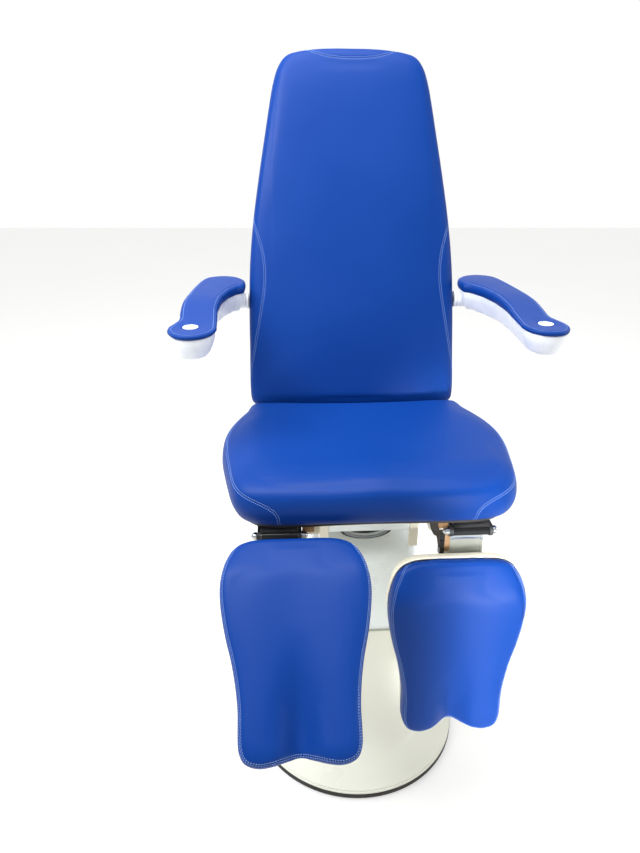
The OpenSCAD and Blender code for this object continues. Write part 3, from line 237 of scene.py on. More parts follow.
def bar(a, b, radius, place=CHAIR, mirror=False):
    """Round cutter between two points of a part's own frame."""
    return tube("cutter", set_in(np.linspace(a, b, 3), place, 0, mirror), radius, 48)


def cut(obj, cutters, sharp=35):
    """Takes the cutters out of a piece, and marks the edges that turn by more than the sharp angle."""
    for cutter in cutters:
        mod = obj.modifiers.new("cut", "BOOLEAN")
        mod.operation, mod.solver, mod.object = "DIFFERENCE", "EXACT", cutter
    evaluated(obj)
    for cutter in cutters:
        bpy.data.objects.remove(cutter)
    obj.data.set_sharp_from_angle(angle=math.radians(sharp))
    return obj


def dressed(obj, body, material, slot, *nodes):
    """Gives a piece its material, hides the solids that it stands for, and gives it its body, if it has only
    one. The slot is not used.
    """
    obj.data.materials.clear()
    obj.data.materials.append(material)
    if body:
        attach(obj, body)
    if nodes:
        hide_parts(*nodes)
    return obj


# Materials
def linear(code):
    """Linear colour from an sRGB hex code."""
    c = np.array([int(code[i:i + 2], 16) / 255 for i in (0, 2, 4)])
    return (*np.where(c <= 0.04045, c / 12.92, ((c + 0.055) / 1.055) ** 2.4), 1.0)


def add_node(tree, kind, links=None, **settings):
    """Adds a node with its settings; links give its inputs values or the outputs they take."""
    node = tree.nodes.new(kind)
    for key, value in settings.items():
        setattr(node, key, value)
    for key, value in (links or {}).items():
        if isinstance(value, bpy.types.NodeSocket):
            tree.links.new(value, node.inputs[key])
        else:
            node.inputs[key].default_value = value
    return node


# The Wave node multiplies its scale by this before it takes the sine
WAVE_FACTOR = 20


def finish(name, light, dark, mottle_mm, rough, grain=None, stretch=(1, 1, 1), **shader):
    """Surface whose colour drifts between two close tones over mottle_mm, whose roughness drifts
    between two values, and whose relief is a grain: (pattern, size in mm, depth in mm)."""
    material = bpy.data.materials.new(name)
    material.use_nodes = True
    tree = material.node_tree
    tree.nodes.clear()
    place = add_node(tree, "ShaderNodeTexCoord").outputs["Object"]
    drift = add_node(tree, "ShaderNodeTexNoise",
                     {"Vector": place, "Scale": PER_METRE / mottle_mm, "Detail": 4.0})
    tone = add_node(tree, "ShaderNodeMix", {0: drift.outputs["Fac"], 6: linear(dark), 7: linear(light)},
                    data_type="RGBA")
    sheen_of = add_node(tree, "ShaderNodeMapRange",
                        {0: drift.outputs["Fac"], 1: 0.3, 2: 0.7, 3: rough[0], 4: rough[1]})
    body = add_node(tree, "ShaderNodeBsdfPrincipled",
                    {"Base Color": tone.outputs[2], "Roughness": sheen_of.outputs[0], **shader})
    if grain:
        pattern, size, depth = grain
        scale = PER_METRE / size
        spot = add_node(tree, "ShaderNodeMapping", {"Vector": place, "Scale": stretch}).outputs[0]
        if pattern == "hide":
            cells = add_node(tree, "ShaderNodeTexVoronoi", {"Vector": spot, "Scale": scale},
                             feature="SMOOTH_F1")
            fine = add_node(tree, "ShaderNodeTexNoise", {"Vector": spot, "Scale": 2.5 * scale, "Detail": 3.0})
            height = add_node(tree, "ShaderNodeMath", {0: cells.outputs["Distance"], 1: fine.outputs["Fac"]},
                              operation="ADD").outputs[0]
        elif pattern == "layers":
            height = add_node(tree, "ShaderNodeTexWave",
                              {"Vector": spot, "Scale": scale / WAVE_FACTOR, "Distortion": 1.5},
                              bands_direction="Z").outputs["Fac"]
        else:
            height = add_node(tree, "ShaderNodeTexNoise",
                              {"Vector": spot, "Scale": scale, "Detail": 3.0}).outputs["Fac"]
        relief = add_node(tree, "ShaderNodeBump", {"Height": height, "Distance": depth * MM, "Strength": 1.0})
        tree.links.new(relief.outputs[0], body.inputs["Normal"])
    out = add_node(tree, "ShaderNodeOutputMaterial")
    tree.links.new(body.outputs[0], out.inputs[0])
    return material


def coated_round(material, axis, radius, side, coat):
    """Coats a metal within a radius of an axis along X, and on all that lies nearer to the chair's
    middle plane than a side. The coat hides the metal's colour and shine."""
    tree = material.node_tree
    body = next(n for n in tree.nodes if n.type == "BSDF_PRINCIPLED")
    place = add_node(tree, "ShaderNodeTexCoord").outputs["Object"]
    spot = add_node(tree, "ShaderNodeSeparateXYZ", {0: place})
    flat = add_node(tree, "ShaderNodeCombineXYZ", {1: spot.outputs[1], 2: spot.outputs[2]})
    apart = add_node(tree, "ShaderNodeVectorMath", {0: flat.outputs[0], 1: tuple(axis * MM)},
                     operation="DISTANCE")
    near = add_node(tree, "ShaderNodeMath", {0: apart.outputs["Value"], 1: radius * MM},
                    operation="LESS_THAN")
    out = add_node(tree, "ShaderNodeMath", {0: spot.outputs[0]}, operation="ABSOLUTE")
    inner = add_node(tree, "ShaderNodeMath", {0: out.outputs[0], 1: side * MM}, operation="LESS_THAN")
    coated = add_node(tree, "ShaderNodeMath", {0: near.outputs[0], 1: inner.outputs[0]},
                      operation="MAXIMUM")
    tone = body.inputs["Base Color"].links[0].from_socket
    paint = add_node(tree, "ShaderNodeMix", {0: coated.outputs[0], 6: tone, 7: linear(coat)},
                     data_type="RGBA")
    bare = add_node(tree, "ShaderNodeMath", {0: 1.0, 1: coated.outputs[0]}, operation="SUBTRACT")
    tree.links.new(paint.outputs[2], body.inputs["Base Color"])
    tree.links.new(bare.outputs[0], body.inputs["Metallic"])


# Axis of both leg hinges, along X
LEG_HINGE = np.array([0, -240, 783])
# Where the leg rests' steel is coated black: round that axis, and as far out as the strut's outer face
HINGE_COAT_R, STRUT_FACE_X = 18, 153

# Polyurethane-coated upholstery fabric, embossed with a fine hide grain and softly glossy
LEATHERETTE = finish("embossed_pu_upholstery", "053682", "04317A", 160, (0.40, 0.48), ("hide", 1.4, 0.08),
                     **{"Specular IOR Level": 0.14})
# Polyester sewing thread, a lighter blue than the cover; the twist is drawn coarse so that it shows
THREAD = finish("polyester_thread", "7FA2E2", "6A8FD4", 8, (0.55, 0.65), ("noise", 0.5, 0.05), (1, 1, 4))
# The same cover turned under at a seam, in a darker tone: painted shade, as the seam's groove would hold
SEAM_SHADE = finish("turned_seam_painted_shade", "042A66", "03245A", 20, (0.5, 0.6), ("hide", 1.2, 0.06))
# Steel with a cream powder coat: smooth, with a faint orange peel
CREAM_COAT = finish("cream_powder_coat", "EFEBDD", "E9E4D4", 90, (0.30, 0.38), ("noise", 1.6, 0.02))
# Steel with a dark powder coat, finely textured
DARK_COAT = finish("charcoal_powder_coat", "2E3033", "232528", 50, (0.45, 0.58), ("noise", 0.8, 0.03))
# Moulded ABS in four tints: an even gloss with the faint ripple of the mould
WARM_ABS = finish("warm_grey_abs", "ECEDE0", "E6E7DA", 140, (0.26, 0.34), ("noise", 2.4, 0.008))
COOL_ABS = finish("cool_white_abs", "F3FAFC", "EEF6F9", 140, (0.24, 0.32), ("noise", 2.4, 0.008))
CREAM_ABS = finish("cream_abs", "F1EBD6", "EBE4CC", 120, (0.26, 0.34), ("noise", 2.4, 0.008))
WHITE_ABS = finish("white_abs", "F1F3F6", "EAEDF1", 120, (0.24, 0.32), ("noise", 2.4, 0.008))
# Glass-filled nylon: black, matt, with the speckle of its fibres
NYLON = finish("black_nylon", "17181A", "101113", 30, (0.5, 0.62), ("noise", 0.9, 0.03))
# Zinc-plated steel, drawn: fine lines along the tube
ZINC = finish("zinc_plated_steel", "B9BCC0", "A6A9AE", 25, (0.26, 0.40), ("noise", 1.2, 0.01), (1, 1, 0.06),
              Metallic=1.0)
# Chrome plate, polished bright; on the leg rests' tongues it is a little duller, and black at the hinge
CHROME = finish("polished_chrome", "D9DCDF", "D0D3D7", 40, (0.06, 0.12), ("noise", 3.0, 0.002),
                Metallic=1.0)
TONGUE = finish("chrome_with_dark_hinge", "DCE2E4", "D2D9DC", 40, (0.10, 0.16), ("noise", 3.0, 0.002),
                Metallic=1.0)
coated_round(TONGUE, LEG_HINGE, HINGE_COAT_R, STRUT_FACE_X, "141517")
# Bearing brass, turned, with a warm dull shine
BRASS = finish("bushing_brass", "C9A45A", "B8924A", 20, (0.25, 0.38), ("noise", 0.7, 0.01), Metallic=1.0)
# Plywood faced with a dark phenolic film, slightly pebbled
FILM_PLY = finish("film_faced_plywood", "2A2422", "231E1C", 40, (0.42, 0.52), ("noise", 1.5, 0.02))
# Extruded EPDM edge of the foot, dull and slightly brown
RUBBER = finish("epdm_rubber", "2B2520", "211C18", 30, (0.6, 0.75), ("noise", 1.0, 0.03))
# Soft PVC sheath of the cables, slightly glossy
BLACK_PVC = finish("black_pvc_sheath", "141518", "0E0F11", 20, (0.35, 0.45), ("noise", 1.2, 0.01))
GREY_PVC = finish("grey_pvc_sheath", "8D9095", "808388", 20, (0.38, 0.48), ("noise", 1.2, 0.01))
# Edging strip beside the leg hinges, cut across the layers of its plywood
TAN_STRIP = finish("tan_edging", "A8835A", "97734C", 10, (0.5, 0.6), ("layers", 1.6, 0.03))

# Solids that keep their shape, by the finish that each gets
NODE_FINISHES = {
    RUBBER: ["floor_ring"],
    ZINC: ["base_plate", "base_screws", "column_outer", "column_middle", "column_inner", "lift_screw",
           "hollow_screw", "swivel_bearing", "tilt_shaft", "back_hinge_pins", "arm_pivots"],
    NYLON: ["mains_inlet", "outer_glides", "middle_glides", "leg_guide_left", "leg_guide_right",
            "leg_knob_left", "leg_knob_right"],
    DARK_COAT: ["lift_drive", "column_head", "turntable", "tilt_actuator", "leg_brackets",
                "back_hinge_plates", "back_actuator", "back_uprights", "back_cross_tubes"],
    CREAM_COAT: ["yoke_base", "yoke_cheeks", "seat_rails", "seat_cross_tubes"],
    BRASS: ["nut_tube", "tilt_bushes"],
    CHROME: ["tilt_rod", "back_rod", "leg_hinge_pins"],
    TONGUE: ["leg_tongue_left", "leg_tongue_right"],
    FILM_PLY: ["seat_board", "back_board"],
    COOL_ABS: ["control_box"],
    WHITE_ABS: ["arm_socket_left", "arm_socket_right", "arm_brackets"],
}
for material, names in NODE_FINISHES.items():
    for name in names:
        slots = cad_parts[name].data.materials
        slots.clear()
        slots.append(material)

# Covers of the column: heights, half sizes along X and Y, wall, and points round a ring
RING_H, COVER_TOP, COVER_FOOT_R = 16.0, 420.0, 279.0
COVER_HALF = np.array([131.0, 137.0])
WALL, LIP_R, EDGE_R = 4.0, 2, 1.2
FLARE_Z = RING_H + 5
FLARE_POWER, SQUARE_POWER = 13, 7
AROUND = 240
# Opening for the mains inlet, at the rear of the foot
INLET_LOW, INLET_HIGH = [-27.3, 164.7, 10], [27.3, 222.3, 68.3]


def square_ring(half, power, z, count=AROUND):
    """Squarish loop: radius (|cos a / hx|^p + |sin a / hy|^p)^(-1/p) at each angle a."""
    a = np.arange(count) * 2 * math.pi / count
    r = ((np.abs(np.cos(a)) / half[0]) ** power + (np.abs(np.sin(a)) / half[1]) ** power) ** (-1 / power)
    return np.stack([r * np.cos(a), r * np.sin(a), np.full(count, float(z))], 1)


def foot_ring(z, inset=0.0, at=None):
    """Ring of the lower cover: its half sizes grow to the foot's by the flare, a power of how far it
    lies below the top, and its corners grow rounder with the flare, until it is a circle."""
    flare = (1 - np.clip((z - FLARE_Z) / (COVER_TOP - FLARE_Z), 0, 1)) ** FLARE_POWER
    half = COVER_HALF + (COVER_FOOT_R - COVER_HALF) * flare - inset
    return square_ring(half, 2 + (SQUARE_POWER - 2) * (1 - flare) ** 6, z if at is None else at)


def lower_cover():
    """Lower cover: outside from its rim up to a rounded lip, and back down inside it."""
    lip_z = COVER_TOP - LIP_R
    heights = FLARE_Z + (lip_z - FLARE_Z) * np.linspace(0, 1, 60) ** 2.4
    outside = [foot_ring(FLARE_Z, EDGE_R, RING_H), foot_ring(FLARE_Z, 0, RING_H + EDGE_R)]
    outside += [foot_ring(z) for z in heights]
    lip = [foot_ring(COVER_TOP, LIP_R - LIP_R * math.cos(a), lip_z + LIP_R * math.sin(a))
           for a in np.linspace(0.2, math.pi - 0.2, 7)]
    inside = [foot_ring(z, WALL, min(z + WALL, lip_z)) for z in heights[:0:-1]]
    inside += [foot_ring(FLARE_Z, WALL, FLARE_Z + 2), foot_ring(FLARE_Z, WALL, RING_H)]
    shell = skin("lower_cover", np.array(outside + lip + inside), round_trip=True)
    return cut(shell, [block(INLET_LOW, INLET_HIGH)])


UPPER_HALF = np.array([124.0, 130.0])
HEAD_Z, UPPER_LEN, SHOULDER_H = 682.0, 387.0, 52.0
# At the top of the shoulder: half sizes as shares of the sleeve's, and the power of its roundness
SHOULDER_SHARE, SHOULDER_POWER = np.array([0.6, 0.7]), 3
COLUMN_HOLE, HOLE_POWER = np.array([51.3, 51.3]), 14


def upper_ring(share, inset, z):
    """Ring of the upper cover at a share of the way over its shoulder: smaller and rounder upwards."""
    half = UPPER_HALF * (1 - (1 - SHOULDER_SHARE) * share) - inset
    return square_ring(half, SQUARE_POWER - (SQUARE_POWER - SHOULDER_POWER) * share, z)


def upper_cover():
    """Upper cover: inside from the column's hole down to its rim, and outside up over its shoulder."""
    shoulder = smooth_path([[0, 0], [0.12, 0.4], [0.55, 0.75], [1, 1]], 8)
    share, rise = shoulder[:, 0].clip(0, 1), HEAD_Z - SHOULDER_H * (1 - shoulder[:, 1])
    low = HEAD_Z - UPPER_LEN
    straight = np.linspace(low + WALL, HEAD_Z - SHOULDER_H - WALL, 10)
    inside = [square_ring(COLUMN_HOLE, HOLE_POWER, HEAD_Z - WALL)]
    inside += [upper_ring(s, WALL, z - WALL) for s, z in zip(share[::-1], rise[::-1])]
    inside += [upper_ring(0, WALL, z) for z in straight[::-1]] + [upper_ring(0, WALL, low)]
    outside = [upper_ring(0, 0.8, low), upper_ring(0, 0, low + 0.8)]
    outside += [upper_ring(0, 0, z) for z in straight] + [upper_ring(s, 0, z) for s, z in zip(share, rise)]
    outside += [square_ring(COLUMN_HOLE, HOLE_POWER, HEAD_Z)]
    shell = skin("upper_cover", np.array(inside + outside), round_trip=True)
    shell.data.set_sharp_from_angle(angle=math.radians(40))
    return shell


dressed(lower_cover(), "base", WARM_ABS, "warm_grey_cover", "base_cover")
dressed(upper_cover(), "lift", COOL_ABS, "white_cover", "upper_cover")

# Sides, and whether they are mirrored; places of the upholstered parts: a turn about X and an origin
SIDES = (("left", True), ("right", False))
SEAT = dict(turn=0, origin=(0, 0, 815))
BACK = dict(turn=72, origin=(0, 210, 910))
ARM = dict(turn=0.5, origin=(0, -109, 1165))
LEG_TURN = {"left": 37, "right": 82}
LEG_OUT = {"left": 0, "right": 38}


def leg_place(side, slid=True):
    """Place of a leg rest, drawn out along its own slope where it is slid."""
    turn, out = LEG_TURN[side], LEG_OUT[side] if slid else 0
    c, s = math.cos(math.radians(turn)), math.sin(math.radians(turn))
    return dict(turn=turn, origin=(0, LEG_HINGE[1] - out * c, LEG_HINGE[2] - out * s))


# Sizes of the upholstered parts
SEAT_W, SEAT_DEPTH, SEAT_FRONT, SEAT_THICK = 658, 470, 270, 95
BACK_W, BACK_LEN, BACK_START, BACK_THICK = 541, 894, -32, 60
LEG_W, LEG_LEN, LEG_START, LEG_X, SHELL_RIM = 295, 413, 17, 172, 20
ARM_X, ARM_REACH, ARM_LEN, PAD_BELOW = 277, 148, 476, 2
PAD_AT_HOLE, PAD_THICK, PAD_RISE = 9, 24, 210
# Share of its length at which a part's middle point lies
FAN_SHARE = 0.46
# Their outlines, as shares of half the width and of the length, and of an arm's reach and length
SEAT_SHARES = [[0, 0], [0.36, 0], [0.62, 0.004], [0.775, 0.022], [0.865, 0.062], [0.912, 0.125],
               [0.942, 0.22], [0.972, 0.34], [0.994, 0.445], [1, 0.535], [0.99, 0.625], [0.96, 0.715],
               [0.908, 0.815], [0.862, 0.89], [0.842, 0.95], [0.80, 0.99], [0.62, 1], [0.32, 1], [0, 1]]
BACK_SHARES = [[0, 0], [0.45, 0], [0.86, 0.003], [0.97, 0.013], [1, 0.048], [0.998, 0.169],
               [0.995, 0.274], [0.98, 0.408], [0.94, 0.532], [0.873, 0.666], [0.805, 0.785],
               [0.763, 0.857], [0.728, 0.909], [0.68, 0.952], [0.60, 0.981], [0.46, 0.993],
               [0.26, 0.999], [0, 1]]
LEG_SHARES = [[0, 0], [0.36, 0], [0.62, 0.008], [0.81, 0.04], [0.925, 0.105], [0.987, 0.19], [1, 0.27],
              [0.97, 0.365], [0.912, 0.47], [0.842, 0.565], [0.785, 0.67], [0.752, 0.775], [0.75, 0.87],
              [0.735, 0.935], [0.665, 0.98], [0.51, 1], [0.34, 0.995], [0.15, 0.978], [0, 0.968]]
ARM_INNER = [[0, 0.792], [0.045, 0.771], [0.115, 0.75], [0.176, 0.716], [0.236, 0.674],
             [0.291, 0.607], [0.331, 0.54], [0.358, 0.397], [0.345, 0.313], [0.331, 0.229],
             [0.32, 0.166], [0.318, 0.113], [0.38, 0.053], [0.51, 0.013]]
ARM_OUTER = [[0, 0.897], [0.11, 0.964], [0.345, 1], [0.58, 0.985], [0.735, 0.933],
             [0.82, 0.807], [0.885, 0.639], [0.925, 0.481], [0.912, 0.355], [0.892, 0.26],
             [0.94, 0.208], [1, 0.149], [0.985, 0.086], [0.87, 0.023]]
# Points from one of an outline's points to the next
STEPS = 8
seat_loop = smooth_loop(both_sides(SEAT_SHARES, SEAT_W, SEAT_DEPTH), STEPS) + [0, -SEAT_FRONT]
seat_middle = np.array([0, SEAT_DEPTH / 2 - SEAT_FRONT])
back_loop = smooth_loop(both_sides(BACK_SHARES, BACK_W, BACK_LEN), STEPS) + [0, BACK_START]
back_middle = np.array([0, BACK_START + BACK_LEN * FAN_SHARE])


def leg_loop(start, length):
    """Outline of a leg rest in its own frame, from its top middle round, with its middle point."""
    loop = -smooth_loop(both_sides(LEG_SHARES, LEG_W, length), STEPS) + [LEG_X, -start]
    return loop, np.array([LEG_X, -start - length * FAN_SHARE])


def arm_loop():
    """Outline of an arm rest, with each point's middle halfway to its partner across the arm. The
    round ends share the middle of the third pair and of the eleventh."""
    shares = np.array(ARM_INNER + [[0.7, 0]] + ARM_OUTER[::-1])
    loop = smooth_loop([ARM_X, 0] + shares * [ARM_REACH, ARM_LEN], STEPS)
    n, pairs = len(loop), (len(shares) - 1) * STEPS
    k = np.clip(np.minimum(np.arange(n), pairs - np.arange(n)), 3 * STEPS, 11 * STEPS)
    return loop, (loop[k] + loop[pairs - k]) / 2


leg_line, leg_middle = leg_loop(LEG_START, LEG_LEN)
arm_line, arm_middles = arm_loop()
ARM_HOLE = np.array([ARM_X + 0.682 * ARM_REACH, 0.137 * ARM_LEN])

# Cushions: the share of their depth at each ring of their side, from the back to the face, and how
# many rings go from the middle to the side
SECTION = [0, 0, 0.16, 0.42, 0.68, 0.85, 0.95, 1]
INNER_RINGS = 24


def cushion_rings(loop, middles, insets, depth_at):
    """Rings of a cushion from the middle of its flat back, round its rim to the middle of its face.
    A rim ring lies at the outline drawn in by its inset, at its share of the depth at each point."""
    middles = np.broadcast_to(middles, loop.shape)
    inset, share = smooth_path(np.c_[insets, SECTION], 4).T
    flat = [(drawn_in(loop, middles, i), s) for i, s in zip(inset, share.clip(0, 1))]
    first, last = flat[0][0], flat[-1][0]
    inner = np.linspace(0, 1, INNER_RINGS)
    flat = ([(middles + (first - middles) * u, 0.0) for u in inner[:-1]] + flat
            + [(middles + (last - middles) * u, 1.0) for u in inner[-2::-1]])
    return np.array([np.c_[p, s * depth_at(p)] for p, s in flat])


# Seat: its drop to the front edge, the rise of the front's middle, and the dish behind it
FRONT_DROP, FRONT_REACH = 9, 110
NOSE_RISE, NOSE_W = 5, 55
DISH, DISH_REACH = 7, 220
# Back: its fall to the sides, and the swelling at the lumbar
SIDE_FALL = 14
LUMBAR_RISE, LUMBAR_AT, LUMBAR_W = 8, 190, 120
# Leg rest: depth at its top end, rise from there, trough, and heel groove with its share of the length
LEG_TOP, LEG_RISE, LEG_REACH = 24, 22, 86
TROUGH, TROUGH_W = 7, 62
HEEL, HEEL_W, HEEL_FROM, HEEL_REACH = 33, 31, 0.42, 0.58


def seat_depth(p):
    """Depth of the seat cushion: a smooth step up from its front edge, a bell across the front's
    middle, and behind it a dish by the square of the distance across."""
    across, back = p[:, 0] / (SEAT_W / 2), p[:, 1] + SEAT_FRONT
    behind = ease(back / DISH_REACH)
    return (SEAT_THICK - FRONT_DROP * (1 - ease(back / FRONT_REACH))
            + NOSE_RISE * bell(p[:, 0], NOSE_W) * (1 - behind) - DISH * (1 - across**2) * behind)


def back_depth(p):
    """Depth of the back cushion: it falls off by the cube of the distance across, and a bell along its
    length swells it at the lumbar, less towards its sides."""
    across = np.abs(p[:, 0]) / (BACK_W / 2)
    lumbar = LUMBAR_RISE * bell(p[:, 1] - LUMBAR_AT, LUMBAR_W)
    return BACK_THICK - SIDE_FALL * across**3 + lumbar * (1 - across**2)


def leg_depth(p):
    """Depth of a leg cushion: a smooth step up from its top end, less a bell-shaped trough across it,
    which turns down its length into a narrower and deeper heel groove."""
    s, x = -p[:, 1] - LEG_START, p[:, 0] - LEG_X
    down, up = ease((s / LEG_LEN - HEEL_FROM) / HEEL_REACH), ease(s / LEG_REACH)
    return (LEG_TOP + LEG_RISE * up - TROUGH * bell(x, TROUGH_W) * (1 - down) * up
            - HEEL * bell(x, HEEL_W) * down)


def arm_depth(p):
    """Depth of an arm pad: least at its hole, and a smooth step up with the distance from it."""
    away = np.linalg.norm(p - ARM_HOLE, axis=1)
    return PAD_AT_HOLE + (PAD_THICK - PAD_AT_HOLE) * ease(away / PAD_RISE)


# Cloth solver: frames, pressure, and rounds of evening out what it gives. The cover is held this near
# to a seam, and comes free this far on, and this far from its flat back
FOAM_FRAMES, FOAM_PRESSURE, EVENING = 12, 4, 60
SEAM_HOLD, SEAM_REACH, BACK_REACH = 4, 30, 10


def mesh_arrays(obj):
    """Points in millimetres, quads and point normals of a mesh made of quads."""
    mesh = obj.data
    points, normals = np.empty((2, len(mesh.vertices) * 3))
    mesh.vertices.foreach_get("co", points)
    mesh.vertex_normals.foreach_get("vector", normals)
    corners = np.empty(len(mesh.loops), int)
    mesh.loops.foreach_get("vertex_index", corners)
    return points.reshape(-1, 3) / MM, corners.reshape(-1, 4), normals.reshape(-1, 3)


def far_from(paths, points):
    """Distance from each point to the nearest of the points of the paths."""
    best = np.full(len(points), np.inf)
    for spot in np.vstack(paths):
        best = np.minimum(best, ((points - spot) ** 2).sum(1))
    return np.sqrt(best)


def on_surface(tree, points):
    """Nearest points of a surface, and its normals there."""
    found = [tree.find_nearest(Vector(p)) for p in points]
    return np.array([f[0] for f in found]), np.array([f[1] for f in found])


def swell(form, seams, cap):
    """Foam presses the taut cover outwards, except at its seams and its flat back, which hold it. The
    cloth solver gives how far each point is pressed out; the taut cover evens that out over its
    neighbours, and no point moves further than the cap."""
    start, quads, normals = mesh_arrays(form)
    apart = far_from(seams, start)
    held = form.vertex_groups.new(name="held")
    held.add(np.flatnonzero((apart < SEAM_HOLD) | (start[:, 2] < 1)).tolist(), 1.0, "REPLACE")
    cloth = form.modifiers.new("foam", "CLOTH")
    cloth.settings.vertex_group_mass = held.name
    cloth.settings.use_pressure = True
    cloth.settings.uniform_pressure_force = FOAM_PRESSURE
    cloth.settings.effector_weights.gravity = 0
    for moment in range(1, FOAM_FRAMES + 1):
        scene.frame_set(moment)
    moved = form.evaluated_get(bpy.context.evaluated_depsgraph_get()).data
    out = np.empty(start.size)
    moved.vertices.foreach_get("co", out)
    form.modifiers.clear()
    scene.frame_set(1)
    pressed = ((out.reshape(-1, 3) / MM - start) * normals).sum(1)
    free = ease((apart - SEAM_HOLD) / SEAM_REACH) * ease(start[:, 2] / BACK_REACH)
    a, b = quads.ravel(), np.roll(quads, -1, axis=1).ravel()
    count = np.bincount(a, minlength=len(start))
    for _ in range(EVENING):
        pressed = 0.5 * pressed + 0.5 * np.bincount(a, pressed[b], len(start)) / count
    pressed = cap * np.tanh(np.maximum(pressed, 0) / cap) * free
    form.data.vertices.foreach_set("co", ((start + normals * pressed[:, None]) * MM).ravel())


# Groove of a seam, thread of a row of stitches, and radius of the edge turned in at a seam
GROOVE_DEPTH, GROOVE_W = 1.2, 2.6
STITCH_PITCH, STITCH_LEN, THREAD_D = 4.8, 3.5, 1.1
TURNED_R = 0.5


def upholstered(rings, seams, cap, voxel):
    """Cover over a cushion in its own frame, as points and quads: the rings are remeshed evenly, swell,
    are made finer, and each seam sinks in as a groove, its depth falling off by a bell curve."""
    form = skin("form", rings)
    even = form.modifiers.new("even", "REMESH")
    even.mode, even.voxel_size, even.use_smooth_shade = "VOXEL", voxel * MM, True
    evaluated(form)
    swell(form, seams, cap)
    finer = form.modifiers.new("finer", "SUBSURF")
    finer.levels = finer.render_levels = 1
    evaluated(form)
    points, quads, normals = mesh_arrays(form)
    tree = BVHTree.FromPolygons(points.tolist(), quads.tolist())
    on = [on_surface(tree, seam)[0] for seam in seams]
    points = points - normals * (GROOVE_DEPTH * bell(far_from(on, points), GROOVE_W))[:, None]
    bpy.data.objects.remove(form)
    return points, quads


def stitch_row(tree, seam, aside):
    """Stitches beside a seam. Each is a capsule: six-sided rings along the row, whose radius follows
    a half circle at its ends, and whose middle line sinks into the cover there."""
    spots, up = on_surface(tree, seam)
    beside = spots + unit(np.cross(up, np.gradient(spots, axis=0))) * aside
    spots, up = on_surface(tree, evenly(beside, STITCH_PITCH))
    along = unit(np.gradient(spots, axis=0))
    across = unit(np.cross(up, along))
    u, r = np.array([-0.5, -0.4, 0, 0.4, 0.5]), THREAD_D / 2 * np.array([0, 0.8, 1, 0.8, 0])
    a = np.arange(6) * math.pi / 3
    rise = THREAD_D * (0.25 - 1.6 * u**2)[:, None] + r[:, None] * np.sin(a)
    shape = (along[:, None, None] * (STITCH_LEN * u)[None, :, None, None]
             + across[:, None, None] * (r[:, None] * np.cos(a))[None, ..., None]
             + np.cross(along, across)[:, None, None] * rise[None, ..., None])
    points = (spots[:, None, None] + shape).reshape(len(spots), -1, 3)
    return points, ring_faces(len(u), len(a))


def sewn(points, quads, seams, rows):
    """Thread of all rows of stitches along the seams, and the turned edge in each seam's groove."""
    tree = BVHTree.FromPolygons(points.tolist(), quads.tolist())
    sets = [stitch_row(tree, seam, aside) for seam in seams for aside in rows]
    every = np.concatenate([s[0] for s in sets])
    count = every.shape[1]
    faces = (sets[0][1][None] + (np.arange(len(every)) * count)[:, None, None]).reshape(-1, 4)
    return every.reshape(-1, 3), faces, [on_surface(tree, evenly(seam, 3))[0] for seam in seams]


def leg_seam():
    """Seam round a leg cushion, below the rim of its face; at the top corners it dives to the back."""
    n, first, dive = len(leg_line), 15, 14
    k = np.arange(first, n - first + 1)
    share = 0.05 + 0.80 * ease((np.minimum(k, n - k) - first) / dive)
    p = drawn_in(leg_line, leg_middle, 5)[k]
    return np.c_[p, share * leg_depth(p)]


def mirrored(path):
    """A path, and the same path on the other side."""
    return [path, path * [-1, 1, 1]]


# Seams in their cushions' own frames, on the right side; the head's goes from side to side
SEAT_SEAM = [[262, 196, 66], [272, 160, 74], [286, 110, 78], [303, 50, 80], [313, -20, 80], [311, -90, 80],
             [304, -150, 79], [294, -207, 75], [279, -237, 71], [262, -251, 66], [238, -262, 58],
             [219, -267, 48], [208, -268, 37], [204, -266, 24], [202, -256, 4]]
BACK_SEAM = [[263, 466, 22], [251, 436, 40], [240, 402, 48], [231, 364, 51], [227, 322, 52],
             [229, 276, 53], [237, 225, 52], [247, 170, 49], [257, 115, 44], [266, 55, 30]]
HEAD_SEAM = [[-118, 861, 36], [-104, 853, 54], [-88, 845, 57], [-62, 837, 59], [-20, 833, 60],
             [20, 833, 60], [62, 837, 59], [88, 845, 57], [104, 853, 54], [118, 861, 36]]
ARM_HOLE_R, HELD_R = 16.2, 18
ring = np.arange(0, 2 * math.pi, 0.2)
hole_rim = np.c_[ARM_HOLE + HELD_R * np.c_[np.cos(ring), np.sin(ring)], np.full(len(ring), PAD_AT_HOLE)]
arm_rim = drawn_in(arm_line, arm_middles, 6)
arm_seam = np.c_[arm_rim, 0.9 * arm_depth(arm_rim)][STEPS:-STEPS]


def seam_line(points):
    """Smooth line through a seam's points, in steps of 3 mm."""
    return evenly(smooth_path(points, STEPS), 3)


# Form: rings, seams, further lines that hold the cover, cap of the swelling, voxel, and how far from
# its seam each row of stitches lies
FORMS = {
    "seat": (cushion_rings(seat_loop, seat_middle, [40, 20, 7, 0, 2, 8, 20, 38], seat_depth),
             mirrored(seam_line(SEAT_SEAM)), [], 5, 5.0, (-2.6, 2.6)),
    "back": (cushion_rings(back_loop, back_middle, [30, 6, 2, 0, 1.5, 6, 15, 32], back_depth),
             mirrored(seam_line(BACK_SEAM)) + [seam_line(HEAD_SEAM)], [], 5, 6.0, (-2.6, 2.6)),
    "leg": (cushion_rings(leg_line, leg_middle, [26, 1, 0.5, 0, 1.5, 5, 14, 28], leg_depth),
            [evenly(leg_seam(), 3)], [], 4, 4.5, (-2.2, 2.2)),
    "arm": (cushion_rings(arm_line, arm_middles, [14, 3, 1, 0, 1, 4, 10, 20], arm_depth),
            [evenly(arm_seam, 3)], [hole_rim], 2, 3.0, (2.0,)),
}
